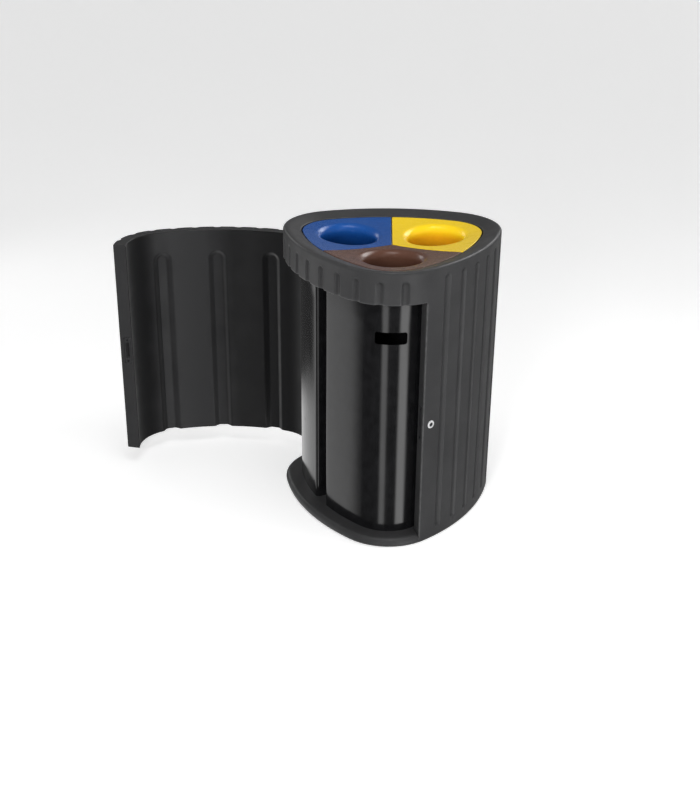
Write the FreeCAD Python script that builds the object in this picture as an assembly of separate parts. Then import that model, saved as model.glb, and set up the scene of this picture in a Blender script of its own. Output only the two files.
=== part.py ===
import FreeCAD, Part
import math
import os

# Three-stream street litter bin.  Millimetres, +Z up, origin on the floor at the
# centre of the rounded-triangle plan.  One rounded corner points to -Y (front), the
# other two to +X+Y (right) and -X+Y (left).  The doorway is on the -X side.
# The door is drawn shut and then swung to its open rest pose.
#
# "Inset" is a distance inward from the outline.  An outline point is named by the
# plan angle of its normal, or by its arc length counter-clockwise from the front corner.

Vector = FreeCAD.Vector
UP = Vector(0, 0, 1)
DOWN = Vector(0, 0, -1)

# ---------------------------------------------------------------- driving sizes
CORNERS = (-90.0, 30.0, 150.0)   # plan directions of the corners: front, right, left
SIDES = (-30.0, 90.0, 210.0)     # plan directions of the side middles
CORNER_DIST = 208.0      # plan centre to the centre of each corner arc
CORNER_R = 201.0
SIDE_DIST = 403.5        # plan centre to the centre of each side arc
HEIGHT = 1000.0          # floor to the crest of the hood
SKIN = 5.0               # skin of the hollow mouldings
WALL_T = 52.0            # double wall of the fixed side
BASE_T = 33.0            # base slab, whose rim is the sill of the doorway
HOOD_Z = 887.0           # underside of the hood
HOOD_SEAT = 894.0        # recessed seat of the upper pivot flange
HOOD_IN = 76.0           # inset of the hood's inner wall
RING_IN = 64.0           # inset of the lid recess
RING_CREST = 12.0        # inset of the crest land
CREST_R = 12.0           # rounding of the crest
FOOT_R = 13.0            # rounding under the base rim
SILL_R = 18.0            # rounding of the sill
LID_EDGE_Z = 984.0       # lid surface at its rim
LID_MID_Z = 964.5        # lid surface at the plan centre
LID_T = 4.5
JAMB_A = -73.5           # plan angle of the lock-side jamb
HINGE_JAMB_A = 133.5     # plan angle of the hinge-side jamb before the nose clearance
HINGE = Vector(-276.5, 252.4, 0)
NOSE_R = 24.0            # hinge edge of the door
DOOR_T = 48.0
DOOR_GAP = 4.0           # gap at the free edge
DOOR_Z0, DOOR_Z1 = 60.0, 884.0
DOOR_OPEN = 118.2        # open rest angle
PIN_R = 8.0
BUSH_R, BUSH_L = 12.0, 35.0
FIT = 0.02               # radial clearance of a bore round a fitted part

# Side arcs run tangent into the corner arcs.
SIDE_R = CORNER_R + math.sqrt(CORNER_DIST ** 2 + CORNER_DIST * SIDE_DIST + SIDE_DIST ** 2)
CORNER_HALF = 90.0 - math.degrees(math.atan2(CORNER_DIST + SIDE_DIST * 0.5,
                                             SIDE_DIST * math.sin(math.radians(60))))
SIDE_HALF = 60.0 - CORNER_HALF
CORNER_ARC = CORNER_R * math.radians(2 * CORNER_HALF)
SIDE_ARC = SIDE_R * math.radians(2 * SIDE_HALF)


# ---------------------------------------------------------------- plan geometry
def polar(angle, radius=1.0, z=0.0):
    turn = math.radians(angle)
    return Vector(radius * math.cos(turn), radius * math.sin(turn), z)


def left_of(direction):
    """Plan direction turned 90 degrees counter-clockwise."""
    return Vector(-direction.y, direction.x, 0)


def plan_angle(point):
    return math.degrees(math.atan2(point.y, point.x))


def arc_at(angle):
    """Centre and radius of the outline arc whose normals include this angle."""
    for middle in CORNERS:
        if abs((angle - middle + 180.0) % 360.0 - 180.0) <= CORNER_HALF + 1e-9:
            return polar(middle, CORNER_DIST), CORNER_R
    for middle in SIDES:
        if abs((angle - middle + 180.0) % 360.0 - 180.0) <= SIDE_HALF + 1e-6:
            return polar(middle, -SIDE_DIST), SIDE_R
    raise ValueError(angle)


def outline(angle, inset=0.0, z=0.0):
    middle, radius = arc_at(angle)
    return middle + polar(angle, radius - inset, z)


def normal_at(length):
    """Normal angle at an arc length counter-clockwise from the front corner."""
    length = (length + CORNER_ARC / 2) % (3 * (CORNER_ARC + SIDE_ARC))
    third = int(length // (CORNER_ARC + SIDE_ARC))
    length -= third * (CORNER_ARC + SIDE_ARC)
    corner = CORNERS[0] + 120.0 * third
    if length <= CORNER_ARC:
        return corner - CORNER_HALF + math.degrees(length / CORNER_R)
    return corner + CORNER_HALF + math.degrees((length - CORNER_ARC) / SIDE_R)


# ---------------------------------------------------------------- shape helpers
def outline_wire(inset, z, scale=1.0):
    edges = []
    for corner in CORNERS:
        start, end = corner - CORNER_HALF, corner + CORNER_HALF
        for low, high in ((start, end), (end, start + 120.0)):
            middle = (low + high) / 2
            arc_centre, radius = arc_at(middle)
            points = []
            for angle in (low, middle, high):
                point = (arc_centre + polar(angle, radius - inset)) * scale
                points.append(Vector(point.x, point.y, z))
            edges.append(Part.Arc(*points).toShape())
    return Part.Wire(Part.__sortEdges__(edges))


def prism(inset, z0, z1):
    return Part.Face(outline_wire(inset, z0)).extrude(Vector(0, 0, z1 - z0))


def ring(outer_inset, inner_inset, z0, z1):
    return prism(outer_inset, z0, z1).cut(prism(inner_inset, z0 - 1, z1 + 1))


def extrude_polygon(points, path):
    return Part.Face(Part.makePolygon(points + [points[0]])).extrude(path)


def wedge(angle0, angle1, z0, z1, radius=1500.0, apex=Vector(0, 0, 0)):
    count = max(2, int((angle1 - angle0) / 30) + 1)
    foot = Vector(apex.x, apex.y, z0)
    points = [foot]
    for i in range(count + 1):
        points.append(foot + polar(angle0 + (angle1 - angle0) * i / count, radius))
    return extrude_polygon(points, Vector(0, 0, z1 - z0))


def third_wedge(angle, half_gap, z0, z1):
    """120-degree wedge about a plan direction, half_gap clear of its boundary planes."""
    apex = polar(angle, half_gap / math.sin(math.radians(60)))
    return wedge(angle - 60, angle + 60, z0, z1, 900, apex)


def cylinder(radius, base, direction, height):
    return Part.makeCylinder(radius, height, base, direction)


def pillar(radius, point, z0, z1):
    """Vertical cylinder over a plan point."""
    return cylinder(radius, Vector(point.x, point.y, z0), UP, z1 - z0)


def block(origin, u, v, w, u_range, v_range, w_range):
    """Box spanned by ranges along the unit axes u, v, w."""
    (u0, u1), (v0, v1), (w0, w1) = u_range, v_range, w_range
    corners = ((u0, v0), (u1, v0), (u1, v1), (u0, v1))
    points = [origin + u * a + v * b + w * w0 for a, b in corners]
    return extrude_polygon(points, w * (w1 - w0))


def hexagon(base, axis, u, across_flats, height):
    v = axis.cross(u)
    points = []
    for i in range(6):
        corner = polar(60 * i, across_flats / math.sqrt(3))
        points.append(base + u * corner.x + v * corner.y)
    return extrude_polygon(points, axis * height)


def horizontal(shape, z):
    return [e for e in shape.Edges
            if abs(e.BoundBox.ZMin - z) < 1e-4 and abs(e.BoundBox.ZMax - z) < 1e-4]


def largest(shape):
    return max(shape.Solids, key=lambda solid: solid.Volume)


def screw(seat, into, shank_r, length, head_r, head_h, key):
    """Pan screw with a hexagon socket: seat is under the head, into points to the work."""
    top = seat - into * head_h
    body = cylinder(shank_r, seat, into, length)
    body = body.fuse(cylinder(head_r, seat, into * -1.0, head_h))
    rim = [e for e in body.Edges
           if e.Curve.TypeId == "Part::GeomCircle"
           and abs(e.Curve.Radius - head_r) < 1e-6
           and (e.Curve.Center - top).Length < 1e-6]
    body = body.makeFillet(head_h * 0.45, rim)
    side = left_of(into).normalize() if abs(into.z) < 0.9 else Vector(1, 0, 0)
    return body.cut(hexagon(seat - into * (head_h + 0.01), into, side, key, head_h * 0.6))


def screws(places, **sizes):
    """One screw for each (seat, into) pair."""
    return [screw(seat, into, **sizes) for seat, into in places]


def save(name, shape, swing=False):
    """Write one piece; swing turns it with the door to the open pose."""
    shape = shape.copy()
    if swing:
        shape.rotate(HINGE, UP, -DOOR_OPEN)
    shape = shape.removeSplitter()
    solids = shape.Solids
    shape = solids[0] if len(solids) == 1 else Part.makeCompound(solids)
    shape.exportStep("parts/%s.step" % name)


# ---------------------------------------------------------------- flute pattern
FLUTE_W, FLUTE_D = 28.0, 7.0
FLUTE_PITCH = 83.0
FLUTE_Z0, FLUTE_Z1 = 39.0, 968.0
FLUTE_R = ((FLUTE_W / 2) ** 2 + FLUTE_D ** 2) / (2 * FLUTE_D)
FRONT_FLUTES = 7         # flutes at FLUTE_PITCH each way from the front corner
BACK_SPACES = 15         # equal spaces across the rest of the outline


def flute_stations():
    """Arc lengths of the flutes."""
    last = FLUTE_PITCH * (FRONT_FLUTES - 0.5)
    back = 3 * (CORNER_ARC + SIDE_ARC) - 2 * last
    stations = []
    for i in range(FRONT_FLUTES):
        stations += [FLUTE_PITCH * (i + 0.5), -FLUTE_PITCH * (i + 0.5)]
    for i in range(1, BACK_SPACES):
        stations.append(last + back * i / BACK_SPACES)
    # The land beside the doorway is plain.
    return sorted(s for s in stations if abs(s - FLUTE_PITCH * 1.5) > 1.0)


def on_door(station):
    angle = plan_angle(outline(normal_at(station)))
    angle = angle if angle > 0 else angle + 360.0
    return HINGE_JAMB_A + 1.0 < angle < 360.0 + JAMB_A - 1.0


DOOR_FLUTES = [s for s in flute_stations() if on_door(s)]
FIXED_FLUTES = [s for s in flute_stations() if not on_door(s)]


def flute(station, z0, z1, grow=0.0, round_top=True, round_foot=True):
    axis = outline(normal_at(station), FLUTE_D - FLUTE_R)
    radius = FLUTE_R + grow
    foot = z0 + FLUTE_W / 2 if round_foot else z0
    top = z1 - FLUTE_W / 2 if round_top else z1
    shaft = pillar(radius, axis, foot, top)
    ends = []
    if round_top:
        ends.append(Part.makeSphere(radius, Vector(axis.x, axis.y, top)))
    if round_foot:
        ends.append(Part.makeSphere(radius, Vector(axis.x, axis.y, foot)))
    return shaft.multiFuse(ends) if ends else shaft


def body_flutes(grow):
    """Full flutes of the fixed side, and their short continuations above the door."""
    full = [flute(s, FLUTE_Z0, FLUTE_Z1, grow) for s in FIXED_FLUTES]
    return full + [flute(s, HOOD_Z - 2, FLUTE_Z1, grow, True, False) for s in DOOR_FLUTES]


def door_flutes(overrun, grow):
    return [flute(s, DOOR_Z0 - overrun, DOOR_Z1 + overrun, grow, False, False)
            for s in DOOR_FLUTES]


# ---------------------------------------------------------------- hinge frame
HINGE_OUT = (HINGE - polar(150, CORNER_DIST)).normalize()   # outline normal through the axis
HINGE_ALONG = left_of(HINGE_OUT)
OPEN_OUT = polar(plan_angle(HINGE_OUT) - DOOR_OPEN)         # the same normal, door open
FLANGE_OUT = polar(123)                                     # across the pivot flanges
FLANGE_ALONG = left_of(FLANGE_OUT)
FLANGE_T = 4.0
FLANGE_HALF = 17.0       # hinge axis to each flange screw
FLANGE_HOLES = [HINGE + FLANGE_ALONG * FLANGE_HALF, HINGE - FLANGE_ALONG * FLANGE_HALF]

# ---------------------------------------------------------------- lock and jamb frame
LOCK_Z = 452.0
LOCK_A = -48.67          # direction of the skin's normal at the lock
LOCK_OUT = polar(LOCK_A)
LOCK_IN = LOCK_OUT * -1.0
LOCK_SIDE = left_of(LOCK_OUT)
LOCK_FACE = outline(LOCK_A, 0, LOCK_Z)
CAM_D = 27.0             # cam plane, below the skin at the lock
CAM_T = 3.0

JAMB_IN = polar(JAMB_A) * -1.0       # inward along the lock-side jamb face
JAMB_OUT = left_of(JAMB_IN)          # out of the face, into the doorway


def find_jamb_corner():
    """Outline point on the jamb plane, by bisection on the normal angle."""
    low, high = -130.0, -40.0
    for _ in range(60):
        middle = (low + high) / 2
        if plan_angle(outline(middle)) > JAMB_A:
            high = middle
        else:
            low = middle
    return outline((low + high) / 2)


JAMB_CORNER = find_jamb_corner()
CAM_AXIS = outline(LOCK_A, CAM_D)    # plan point of the lock axis in the cam plane
# Where the cam plane crosses the jamb face, and the door's end face opposite.
JAMB_MID = JAMB_CORNER + JAMB_IN * (
    (CAM_AXIS - JAMB_CORNER).dot(LOCK_OUT) / JAMB_IN.dot(LOCK_OUT))
DOOR_END = JAMB_MID + JAMB_OUT * DOOR_GAP
CAM_L = (CAM_AXIS - JAMB_MID).Length + DOOR_GAP + 13.0

STRIP_HALF = 12.0        # half width of the jamb plate and the door keeper
STRIP_FIT = 0.1          # clearance round them in their seats
PLATE_T, PLATE_H = 2.5, 120.0
PLATE_Z0 = LOCK_Z - PLATE_H / 2
PLATE_SCREW_Z = [PLATE_Z0 + 9.0, PLATE_Z0 + PLATE_H - 9.0]
SLOT_Z0, SLOT_Z1 = LOCK_Z - 11.0, LOCK_Z + 50.0
POCKET_Z0, POCKET_Z1 = SLOT_Z0 - 2.0, SLOT_Z1 + 2.0
KEEPER_T, KEEPER_H = 2.0, 100.0
KEEPER_Z0 = (POCKET_Z0 + POCKET_Z1) / 2 - KEEPER_H / 2
KEEPER_SCREW_Z = [KEEPER_Z0 + 8.0, KEEPER_Z0 + KEEPER_H - 8.0]


def jamb_block(origin, in_range, out_range, z_range):
    return block(origin, JAMB_IN, JAMB_OUT, UP, in_range, out_range, z_range)


def strip_seat(origin, out_range, z0, height):
    half = STRIP_HALF + STRIP_FIT
    return jamb_block(origin, (-half, half), out_range, (z0 - STRIP_FIT, z0 + height + STRIP_FIT))


def pocket():
    """Pocket in the door's end face that takes the cam."""
    return jamb_block(DOOR_END, (-8, 8), (-3, 22), (POCKET_Z0, POCKET_Z1))


def lock_at(depth):
    """Point on the lock axis; negative depths stand proud of the skin."""
    return LOCK_FACE + LOCK_IN * depth


def lock_cylinder(radius, depth0, depth1):
    return cylinder(radius, lock_at(depth0), LOCK_IN, depth1 - depth0)


# ---------------------------------------------------------------- fixing places
ANCHOR_PCD = 300.0
ANCHORS = [polar(angle, ANCHOR_PCD / 2) for angle in CORNERS]
SLEEVE_R, SLEEVE_H = 9.0, 21.0
BLIND_BOSS = polar(90, 60.0)
BODY_VENT = polar(210, 60.0)
DOOR_VENT = outline(normal_at(-6 * FLUTE_PITCH), DOOR_T / 2)
VENT_R = 5.0

# (point on the hood's inner wall, outward direction) of each screw
TAB_SPREAD = 36.0        # inlet tabs each way from their corner
TAB_Z, ARM_Z = 962.0, 944.0
TAB_SCREWS = [(outline(corner + side, HOOD_IN, TAB_Z), polar(corner + side))
              for corner in CORNERS for side in (-TAB_SPREAD, TAB_SPREAD)]
ARM_SCREWS = [(outline(side, HOOD_IN, ARM_Z) + left_of(polar(side)) * across, polar(side))
              for side in SIDES for across in (-12.0, 12.0)]

# ---------------------------------------------------------------- body moulding
VOID_TOP = LID_EDGE_Z - LID_T - 6


def open_door_clearance(shift=0.0):
    """Block the open door needs beside the hinge."""
    return block(HINGE + OPEN_OUT * shift, OPEN_OUT, left_of(OPEN_OUT), UP,
                 (-60, NOSE_R + 3.0), (0, 200), (DOOR_Z0 - 17, HOOD_Z + 10))


def body_outside():
    slab = prism(0, 0, BASE_T)
    slab = slab.makeFillet(SILL_R, horizontal(slab, BASE_T))
    slab = slab.makeFillet(FOOT_R, horizontal(slab, 0.0))
    shaft = prism(0, 0, HEIGHT)
    shaft = shaft.makeFillet(CREST_R, horizontal(shaft, HEIGHT))
    shaft = shaft.makeFillet(FOOT_R, horizontal(shaft, 0.0))
    hood = prism(0, HOOD_Z, HEIGHT)
    hood = hood.makeFillet(CREST_R, horizontal(hood, HEIGHT))
    hood = hood.makeFillet(4.0, horizontal(hood, HOOD_Z))
    hood = hood.cut(prism(HOOD_IN, HOOD_Z - 1, HEIGHT + 1))
    wall = shaft.cut(prism(WALL_T, BASE_T, HEIGHT + 1))
    wall = wall.common(wedge(JAMB_A, HINGE_JAMB_A, -1, HEIGHT + 1))
    post = pillar(19.0, HINGE, BASE_T - 18, BASE_T)     # flat seat for the lower pivot
    outside = slab.multiFuse([wall, hood, post])

    recess = Part.makeLoft([outline_wire(RING_CREST, HEIGHT + 0.001),
                            outline_wire(RING_IN, LID_EDGE_Z)], True, True)
    outside = outside.cut([recess, prism(RING_IN, LID_EDGE_Z - LID_T - 2.2, HEIGHT + 1)])
    # Concave seat round the door's nose, and a face the open door clears.
    return outside.cut([pillar(NOSE_R + 2.5, HINGE, BASE_T, HOOD_Z), open_door_clearance()])


def body_void():
    """Hollow of the base, wall and hood, less what stays solid or skinned."""
    void = prism(SKIN, SKIN, BASE_T - SKIN)
    wall = prism(SKIN, SKIN, VOID_TOP).cut(prism(WALL_T - SKIN, SKIN, HEIGHT))
    void = void.fuse(wall.common(wedge(JAMB_A + 0.8, HINGE_JAMB_A - 0.8, 0, HEIGHT)))
    void = void.fuse(ring(SKIN, HOOD_IN - SKIN, HOOD_Z + SKIN, VOID_TOP))
    keep = body_flutes(SKIN)
    keep += [pillar(22.0, p, 0, BASE_T) for p in ANCHORS]
    keep += [pillar(16.0, BLIND_BOSS, 0, BASE_T)]
    keep += [pillar(NOSE_R + 7.5, HINGE, BASE_T - 20, HOOD_Z + 28), open_door_clearance(SKIN)]
    sill = ring(-1, SILL_R, BASE_T - SKIN - 8, BASE_T)
    keep += [sill.common(wedge(HINGE_JAMB_A - 1, 361 + JAMB_A, 0, BASE_T))]
    keep += [lock_cylinder(19.0, -1.0, 6.5)]
    return void.cut(keep)


def make_body():
    tools = body_flutes(0.0)
    tools += [pillar(VENT_R, BODY_VENT, -1, SKIN + 2)]
    tools += [pillar(SLEEVE_R + FIT, p, -1, SLEEVE_H + 1) for p in ANCHORS]
    tools += [pillar(16.0, p, SLEEVE_H, SLEEVE_H + 20) for p in ANCHORS]
    # Lock bore, jamb plate seat, cam slot and plate pilots
    tools += [lock_cylinder(9.6, -3.0, 17.0),
              strip_seat(JAMB_MID, (-PLATE_T, 4), PLATE_Z0, PLATE_H),
              jamb_block(JAMB_MID, (-6.5, 6.5), (-14, 4), (SLOT_Z0 - 1, SLOT_Z1 + 1))]
    tools += [cylinder(2.5, JAMB_MID + UP * z + JAMB_OUT, JAMB_OUT * -1.0, 17.0)
              for z in PLATE_SCREW_Z]
    # Pivot pin bores, flange pilots and the upper flange seat
    tools += [pillar(PIN_R + FIT, HINGE, BASE_T - 20, BASE_T + 5),
              pillar(PIN_R + FIT, HINGE, HOOD_Z - 5, HOOD_Z + 20)]
    tools += [pillar(2.5, p, BASE_T - 14, BASE_T + 6) for p in FLANGE_HOLES]
    tools += [pillar(2.5, p, HOOD_Z - 5, HOOD_Z + 21) for p in FLANGE_HOLES]
    tools += [block(HINGE, FLANGE_ALONG, FLANGE_OUT, UP, (-FLANGE_HALF, FLANGE_HALF),
                    (-11, 11), (HOOD_Z - 1, HOOD_SEAT)),
              pillar(14.0, HINGE, HOOD_Z - 1, HOOD_SEAT)]
    tools += [pillar(11.0, p, HOOD_Z - 1, HOOD_SEAT) for p in FLANGE_HOLES]
    tools += [cylinder(3.0, p - out * 4, out, 20.0) for p, out in TAB_SCREWS + ARM_SCREWS]
    save("body_moulding", body_outside().cut(body_void()).cut(tools))


# ---------------------------------------------------------------- door moulding
CHANNEL_W, CHANNEL_D = 76.0, 14.0    # channels in the inner skin
CHANNEL_SLOPE = 24.0                 # width of each sloping flank
CHANNEL_TOP = DOOR_Z1 - 76.0
CHANNELS = [-150.0 - 223.0 * i for i in range(4)]    # arc lengths


def channel(station, grow=0.0):
    """Trapezoid channel with a round top, cut outward from the inner skin."""
    angle = normal_at(station)
    foot = outline(angle, DOOR_T)
    out = polar(angle)
    along = left_of(out)
    overrun = 8.0        # the flanks carry on this far inside the skin
    mouth = CHANNEL_W / 2 + grow + overrun * CHANNEL_SLOPE / CHANNEL_D
    floor = CHANNEL_W / 2 - CHANNEL_SLOPE + grow
    deep = CHANNEL_D + grow
    top_z = CHANNEL_TOP - CHANNEL_W / 2

    def at(z, profile):
        return [foot + UP * z + along * a + out * b for a, b in profile]

    profile = [(-mouth, -overrun), (mouth, -overrun), (floor, deep), (-floor, deep)]
    shaft = extrude_polygon(at(DOOR_Z0 - 2, profile), Vector(0, 0, top_z - DOOR_Z0 + 2))
    half = at(top_z, [(0, -overrun), (mouth, -overrun), (floor, deep), (0, deep)])
    cap = Part.Face(Part.makePolygon(half + [half[0]])).revolve(foot + UP * top_z, out, 360)
    return shaft.fuse(cap)


def trim_to_door(shape, hinge_inset, free_inset):
    """Keep the stretch between the hinge and the free edge."""
    z_range = (DOOR_Z0 - 1, DOOR_Z1 + 1)
    span = block(HINGE, HINGE_OUT, HINGE_ALONG, UP, (-900, 200), (hinge_inset, 1400), z_range)
    beyond = jamb_block(JAMB_CORNER, (-200, 260), (DOOR_GAP - 700, DOOR_GAP + free_inset), z_range)
    return largest(shape.common(span).cut(beyond))


def make_door():
    door = prism(0, DOOR_Z0, DOOR_Z1)
    door = door.makeFillet(5.0, horizontal(door, DOOR_Z1) + horizontal(door, DOOR_Z0))
    door = door.cut(prism(DOOR_T, DOOR_Z0 - 1, DOOR_Z1 + 1))
    door = trim_to_door(door, 0, 0).fuse(pillar(NOSE_R, HINGE, DOOR_Z0, DOOR_Z1))

    void = trim_to_door(ring(SKIN, DOOR_T - SKIN, DOOR_Z0 + SKIN, DOOR_Z1 - SKIN), 18, SKIN)
    keep = door_flutes(5, SKIN)
    keep += [channel(s, SKIN) for s in CHANNELS]
    keep += [pillar(20.0, HINGE, DOOR_Z0, DOOR_Z0 + 50), pillar(20.0, HINGE, DOOR_Z1 - 50, DOOR_Z1)]
    keep += [jamb_block(DOOR_END, (-17, 17), (-1, 27), (POCKET_Z0 - 26, POCKET_Z1 + 26))]
    void = void.cut(keep)

    tools = door_flutes(2, 0.0)
    tools += [channel(s) for s in CHANNELS]
    tools += [pocket(), strip_seat(DOOR_END, (-3, KEEPER_T), KEEPER_Z0, KEEPER_H)]
    tools += [cylinder(2.1, DOOR_END + UP * z + JAMB_OUT, JAMB_OUT, 16.0) for z in KEEPER_SCREW_Z]
    tools += [pillar(BUSH_R + FIT, HINGE, DOOR_Z0 - 1, DOOR_Z0 + BUSH_L),
              pillar(BUSH_R + FIT, HINGE, DOOR_Z1 - BUSH_L, DOOR_Z1 + 1)]
    tools += [pillar(VENT_R, DOOR_VENT, DOOR_Z0 - 1, DOOR_Z0 + SKIN + 2)]
    save("door_moulding", door.cut(void).cut(tools), swing=True)


# ---------------------------------------------------------------- hinge
PIN_REACH = 56.0         # top of the lower pin above the base
UPPER_PIN_DROP = 36.0    # foot of the upper pin below the hood
PIN_TIP_R = 2.0


def flange(z):
    top = z + FLANGE_T
    plate = block(HINGE, FLANGE_ALONG, FLANGE_OUT, UP,
                  (-FLANGE_HALF, FLANGE_HALF), (-10, 10), (z, top))
    plate = plate.multiFuse([pillar(10.0, p, z, top) for p in FLANGE_HOLES])
    plate = plate.fuse(pillar(13.0, HINGE, z, top))
    return plate.cut([pillar(2.7, p, z - 1, top + 1) for p in FLANGE_HOLES])


def make_lower_pivot():
    tip_z = BASE_T + PIN_REACH
    pin = flange(BASE_T).multiFuse([pillar(PIN_R, HINGE, BASE_T - 19, tip_z),
                                    pillar(12.0, HINGE, BASE_T, DOOR_Z0 - 4)])
    pin = pin.makeFillet(PIN_TIP_R, [e for e in pin.Edges if e.BoundBox.ZMin > tip_z - 0.1])
    save("lower_pivot_pin", pin)


def make_upper_pivot():
    tip_z = HOOD_Z - UPPER_PIN_DROP
    pin = flange(HOOD_SEAT - FLANGE_T).fuse(pillar(PIN_R, HINGE, tip_z, HOOD_Z + 18))
    pin = pin.makeFillet(PIN_TIP_R, [e for e in pin.Edges if e.BoundBox.ZMax < tip_z + 0.1])
    save("upper_pivot_pin", pin)


def make_hinge_fittings():
    washer = pillar(15.0, HINGE, DOOR_Z0 - 3.95, DOOR_Z0 - 0.05)
    save("thrust_washer", washer.cut(pillar(PIN_R + 0.1, HINGE, DOOR_Z0 - 10, DOOR_Z0 + 10)))
    size = dict(shank_r=2.4, length=15, head_r=4.6, key=3.0)
    lower = [(p + UP * (BASE_T + FLANGE_T), DOWN) for p in FLANGE_HOLES]
    upper = [(p + UP * (HOOD_SEAT - FLANGE_T), UP) for p in FLANGE_HOLES]
    fixings = screws(lower, head_h=2.8, **size) + screws(upper, head_h=2.6, **size)
    save("pivot_flange_screws", Part.makeCompound(fixings))
    for name, z in (("lower_door_bush", DOOR_Z0), ("upper_door_bush", DOOR_Z1 - BUSH_L)):
        bush = pillar(BUSH_R, HINGE, z, z + BUSH_L)
        save(name, bush.cut(pillar(PIN_R + 0.05, HINGE, z - 1, z + BUSH_L + 4)), swing=True)


# ---------------------------------------------------------------- lock
ESCUTCHEON_R, ESCUTCHEON_T = 14.0, 2.2
KEYWAY_TILT = 22.0
CAM_SQUARE = 3.5         # half side of the plug's square end
CAM_END_R = 7.0


def make_lock_housing():
    face = cylinder(ESCUTCHEON_R, LOCK_FACE, LOCK_OUT, ESCUTCHEON_T)
    rim = [e for e in face.Edges
           if e.Length > 80 and (e.CenterOfMass - lock_at(-ESCUTCHEON_T)).Length < 0.5]
    face = face.makeFillet(1.4, rim)
    save("lock_housing", face.fuse(lock_cylinder(9.5, 0, 20.0)).cut(lock_cylinder(7.05, -5, 35)))


def make_lock_plug():
    plug = lock_cylinder(7.0, -1.6, CAM_D - CAM_T / 2)
    tilt = math.radians(KEYWAY_TILT)
    key_along = UP * math.cos(tilt) + LOCK_SIDE * math.sin(tilt)
    key_across = LOCK_OUT.cross(key_along)
    plug = plug.cut(block(lock_at(-3), key_along, key_across, LOCK_IN,
                          (-4.4, 4.4), (-0.9, 0.9), (0, 16)))
    square = (-CAM_SQUARE, CAM_SQUARE)
    plug = plug.fuse(block(lock_at(CAM_D - CAM_T / 2 - 0.5), UP, LOCK_SIDE, LOCK_IN,
                           square, square, (0, 0.5 + CAM_T)))
    save("lock_plug", plug.cut(lock_cylinder(1.6, CAM_D - 8, CAM_D + 22)))


def make_lock_nut():
    nut = hexagon(lock_at(6.6), LOCK_IN, UP, 25.0, 5.0)
    save("lock_nut", nut.cut(lock_cylinder(9.55, 0, 30)))


def make_lock_cam():
    """Cam turned upright, clear of the door pocket."""
    face = lock_at(CAM_D - CAM_T / 2)
    reach = CAM_L - CAM_END_R
    cam = cylinder(9.0, face, LOCK_IN, CAM_T)
    cam = cam.fuse(block(face, UP, LOCK_SIDE, LOCK_IN,
                         (0, reach), (-CAM_END_R, CAM_END_R), (0, CAM_T)))
    cam = cam.fuse(cylinder(CAM_END_R, face + UP * reach, LOCK_IN, CAM_T))
    square = (-CAM_SQUARE - 0.05, CAM_SQUARE + 0.05)
    save("lock_cam", cam.cut(block(face - LOCK_IN, UP, LOCK_SIDE, LOCK_IN,
                                   square, square, (0, CAM_T + 2))))
    save("cam_screw", screw(lock_at(CAM_D + CAM_T / 2 + 0.05), LOCK_OUT, shank_r=1.55,
                            length=7.0, head_r=6.0, head_h=2.2, key=2.5))


def strip(origin, into, out_range, z0, height, opening, hole_r, screw_zs):
    """Round-cornered plate with an opening and a screw hole at each end."""
    plate = jamb_block(origin, (-STRIP_HALF, STRIP_HALF), out_range, (z0, z0 + height))
    thickness = out_range[1] - out_range[0]
    plate = plate.makeFillet(4.0, [e for e in plate.Edges if e.Length < thickness + 0.1])
    return plate.cut([opening] + [cylinder(hole_r, origin + UP * z - into * 2, into, 6)
                                  for z in screw_zs])


def make_jamb_plate():
    into = JAMB_OUT * -1.0
    slot = jamb_block(JAMB_MID, (-5.5, 5.5), (-4, 4), (SLOT_Z0, SLOT_Z1))
    save("jamb_plate", strip(JAMB_MID, into, (-PLATE_T, 0), PLATE_Z0, PLATE_H,
                             slot, 2.7, PLATE_SCREW_Z))
    places = [(JAMB_MID + UP * z, into) for z in PLATE_SCREW_Z]
    save("jamb_plate_screws", Part.makeCompound(
        screws(places, shank_r=2.4, length=14, head_r=4.2, head_h=1.8, key=2.6)))


def make_door_keeper():
    keeper = strip(DOOR_END, JAMB_OUT, (0, KEEPER_T), KEEPER_Z0, KEEPER_H,
                   pocket(), 2.3, KEEPER_SCREW_Z)
    save("door_keeper", keeper, swing=True)
    places = [(DOOR_END + UP * z, JAMB_OUT) for z in KEEPER_SCREW_Z]
    save("keeper_screws", Part.makeCompound(
        screws(places, shank_r=2.0, length=13, head_r=3.8, head_h=1.6, key=2.3)), swing=True)


# ---------------------------------------------------------------- inlets
LID_GAP = 3.0            # shadow gap round the lids
SPLIT_GAP = 1.5          # half gap between two lids
LID_SCALES = [1.0, 0.8, 0.6, 0.4, 0.2, 0.01]     # loft sections of the dish
LID_R = CORNER_DIST + CORNER_R - RING_IN         # plan centre to the recess at a corner
HOLE_DIST = 174.0        # plan centre to the inlet hole centre
THROAT_R = 95.0
THROAT_TAPER = 4.0       # throat radius lost towards the bottom
FLARE_R = 26.0
THROAT_Z = 893.0
FUNNEL_T = 4.0
HUB_R = 22.0
HUB_SCREW_R = HUB_R * 0.62
HUB_SCREWS = [polar(corner, HUB_SCREW_R) for corner in CORNERS]
SPIDER_Z, SPIDER_T = 951.0, 6.0


def lid_z(scale):
    """Height of the dished lid at a fraction of its rim radius."""
    return LID_MID_Z + (LID_EDGE_Z - LID_MID_Z) * scale * scale


def dish(drop):
    return Part.makeLoft([outline_wire(RING_IN, lid_z(k) - drop, k) for k in LID_SCALES],
                         True, True)


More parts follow.
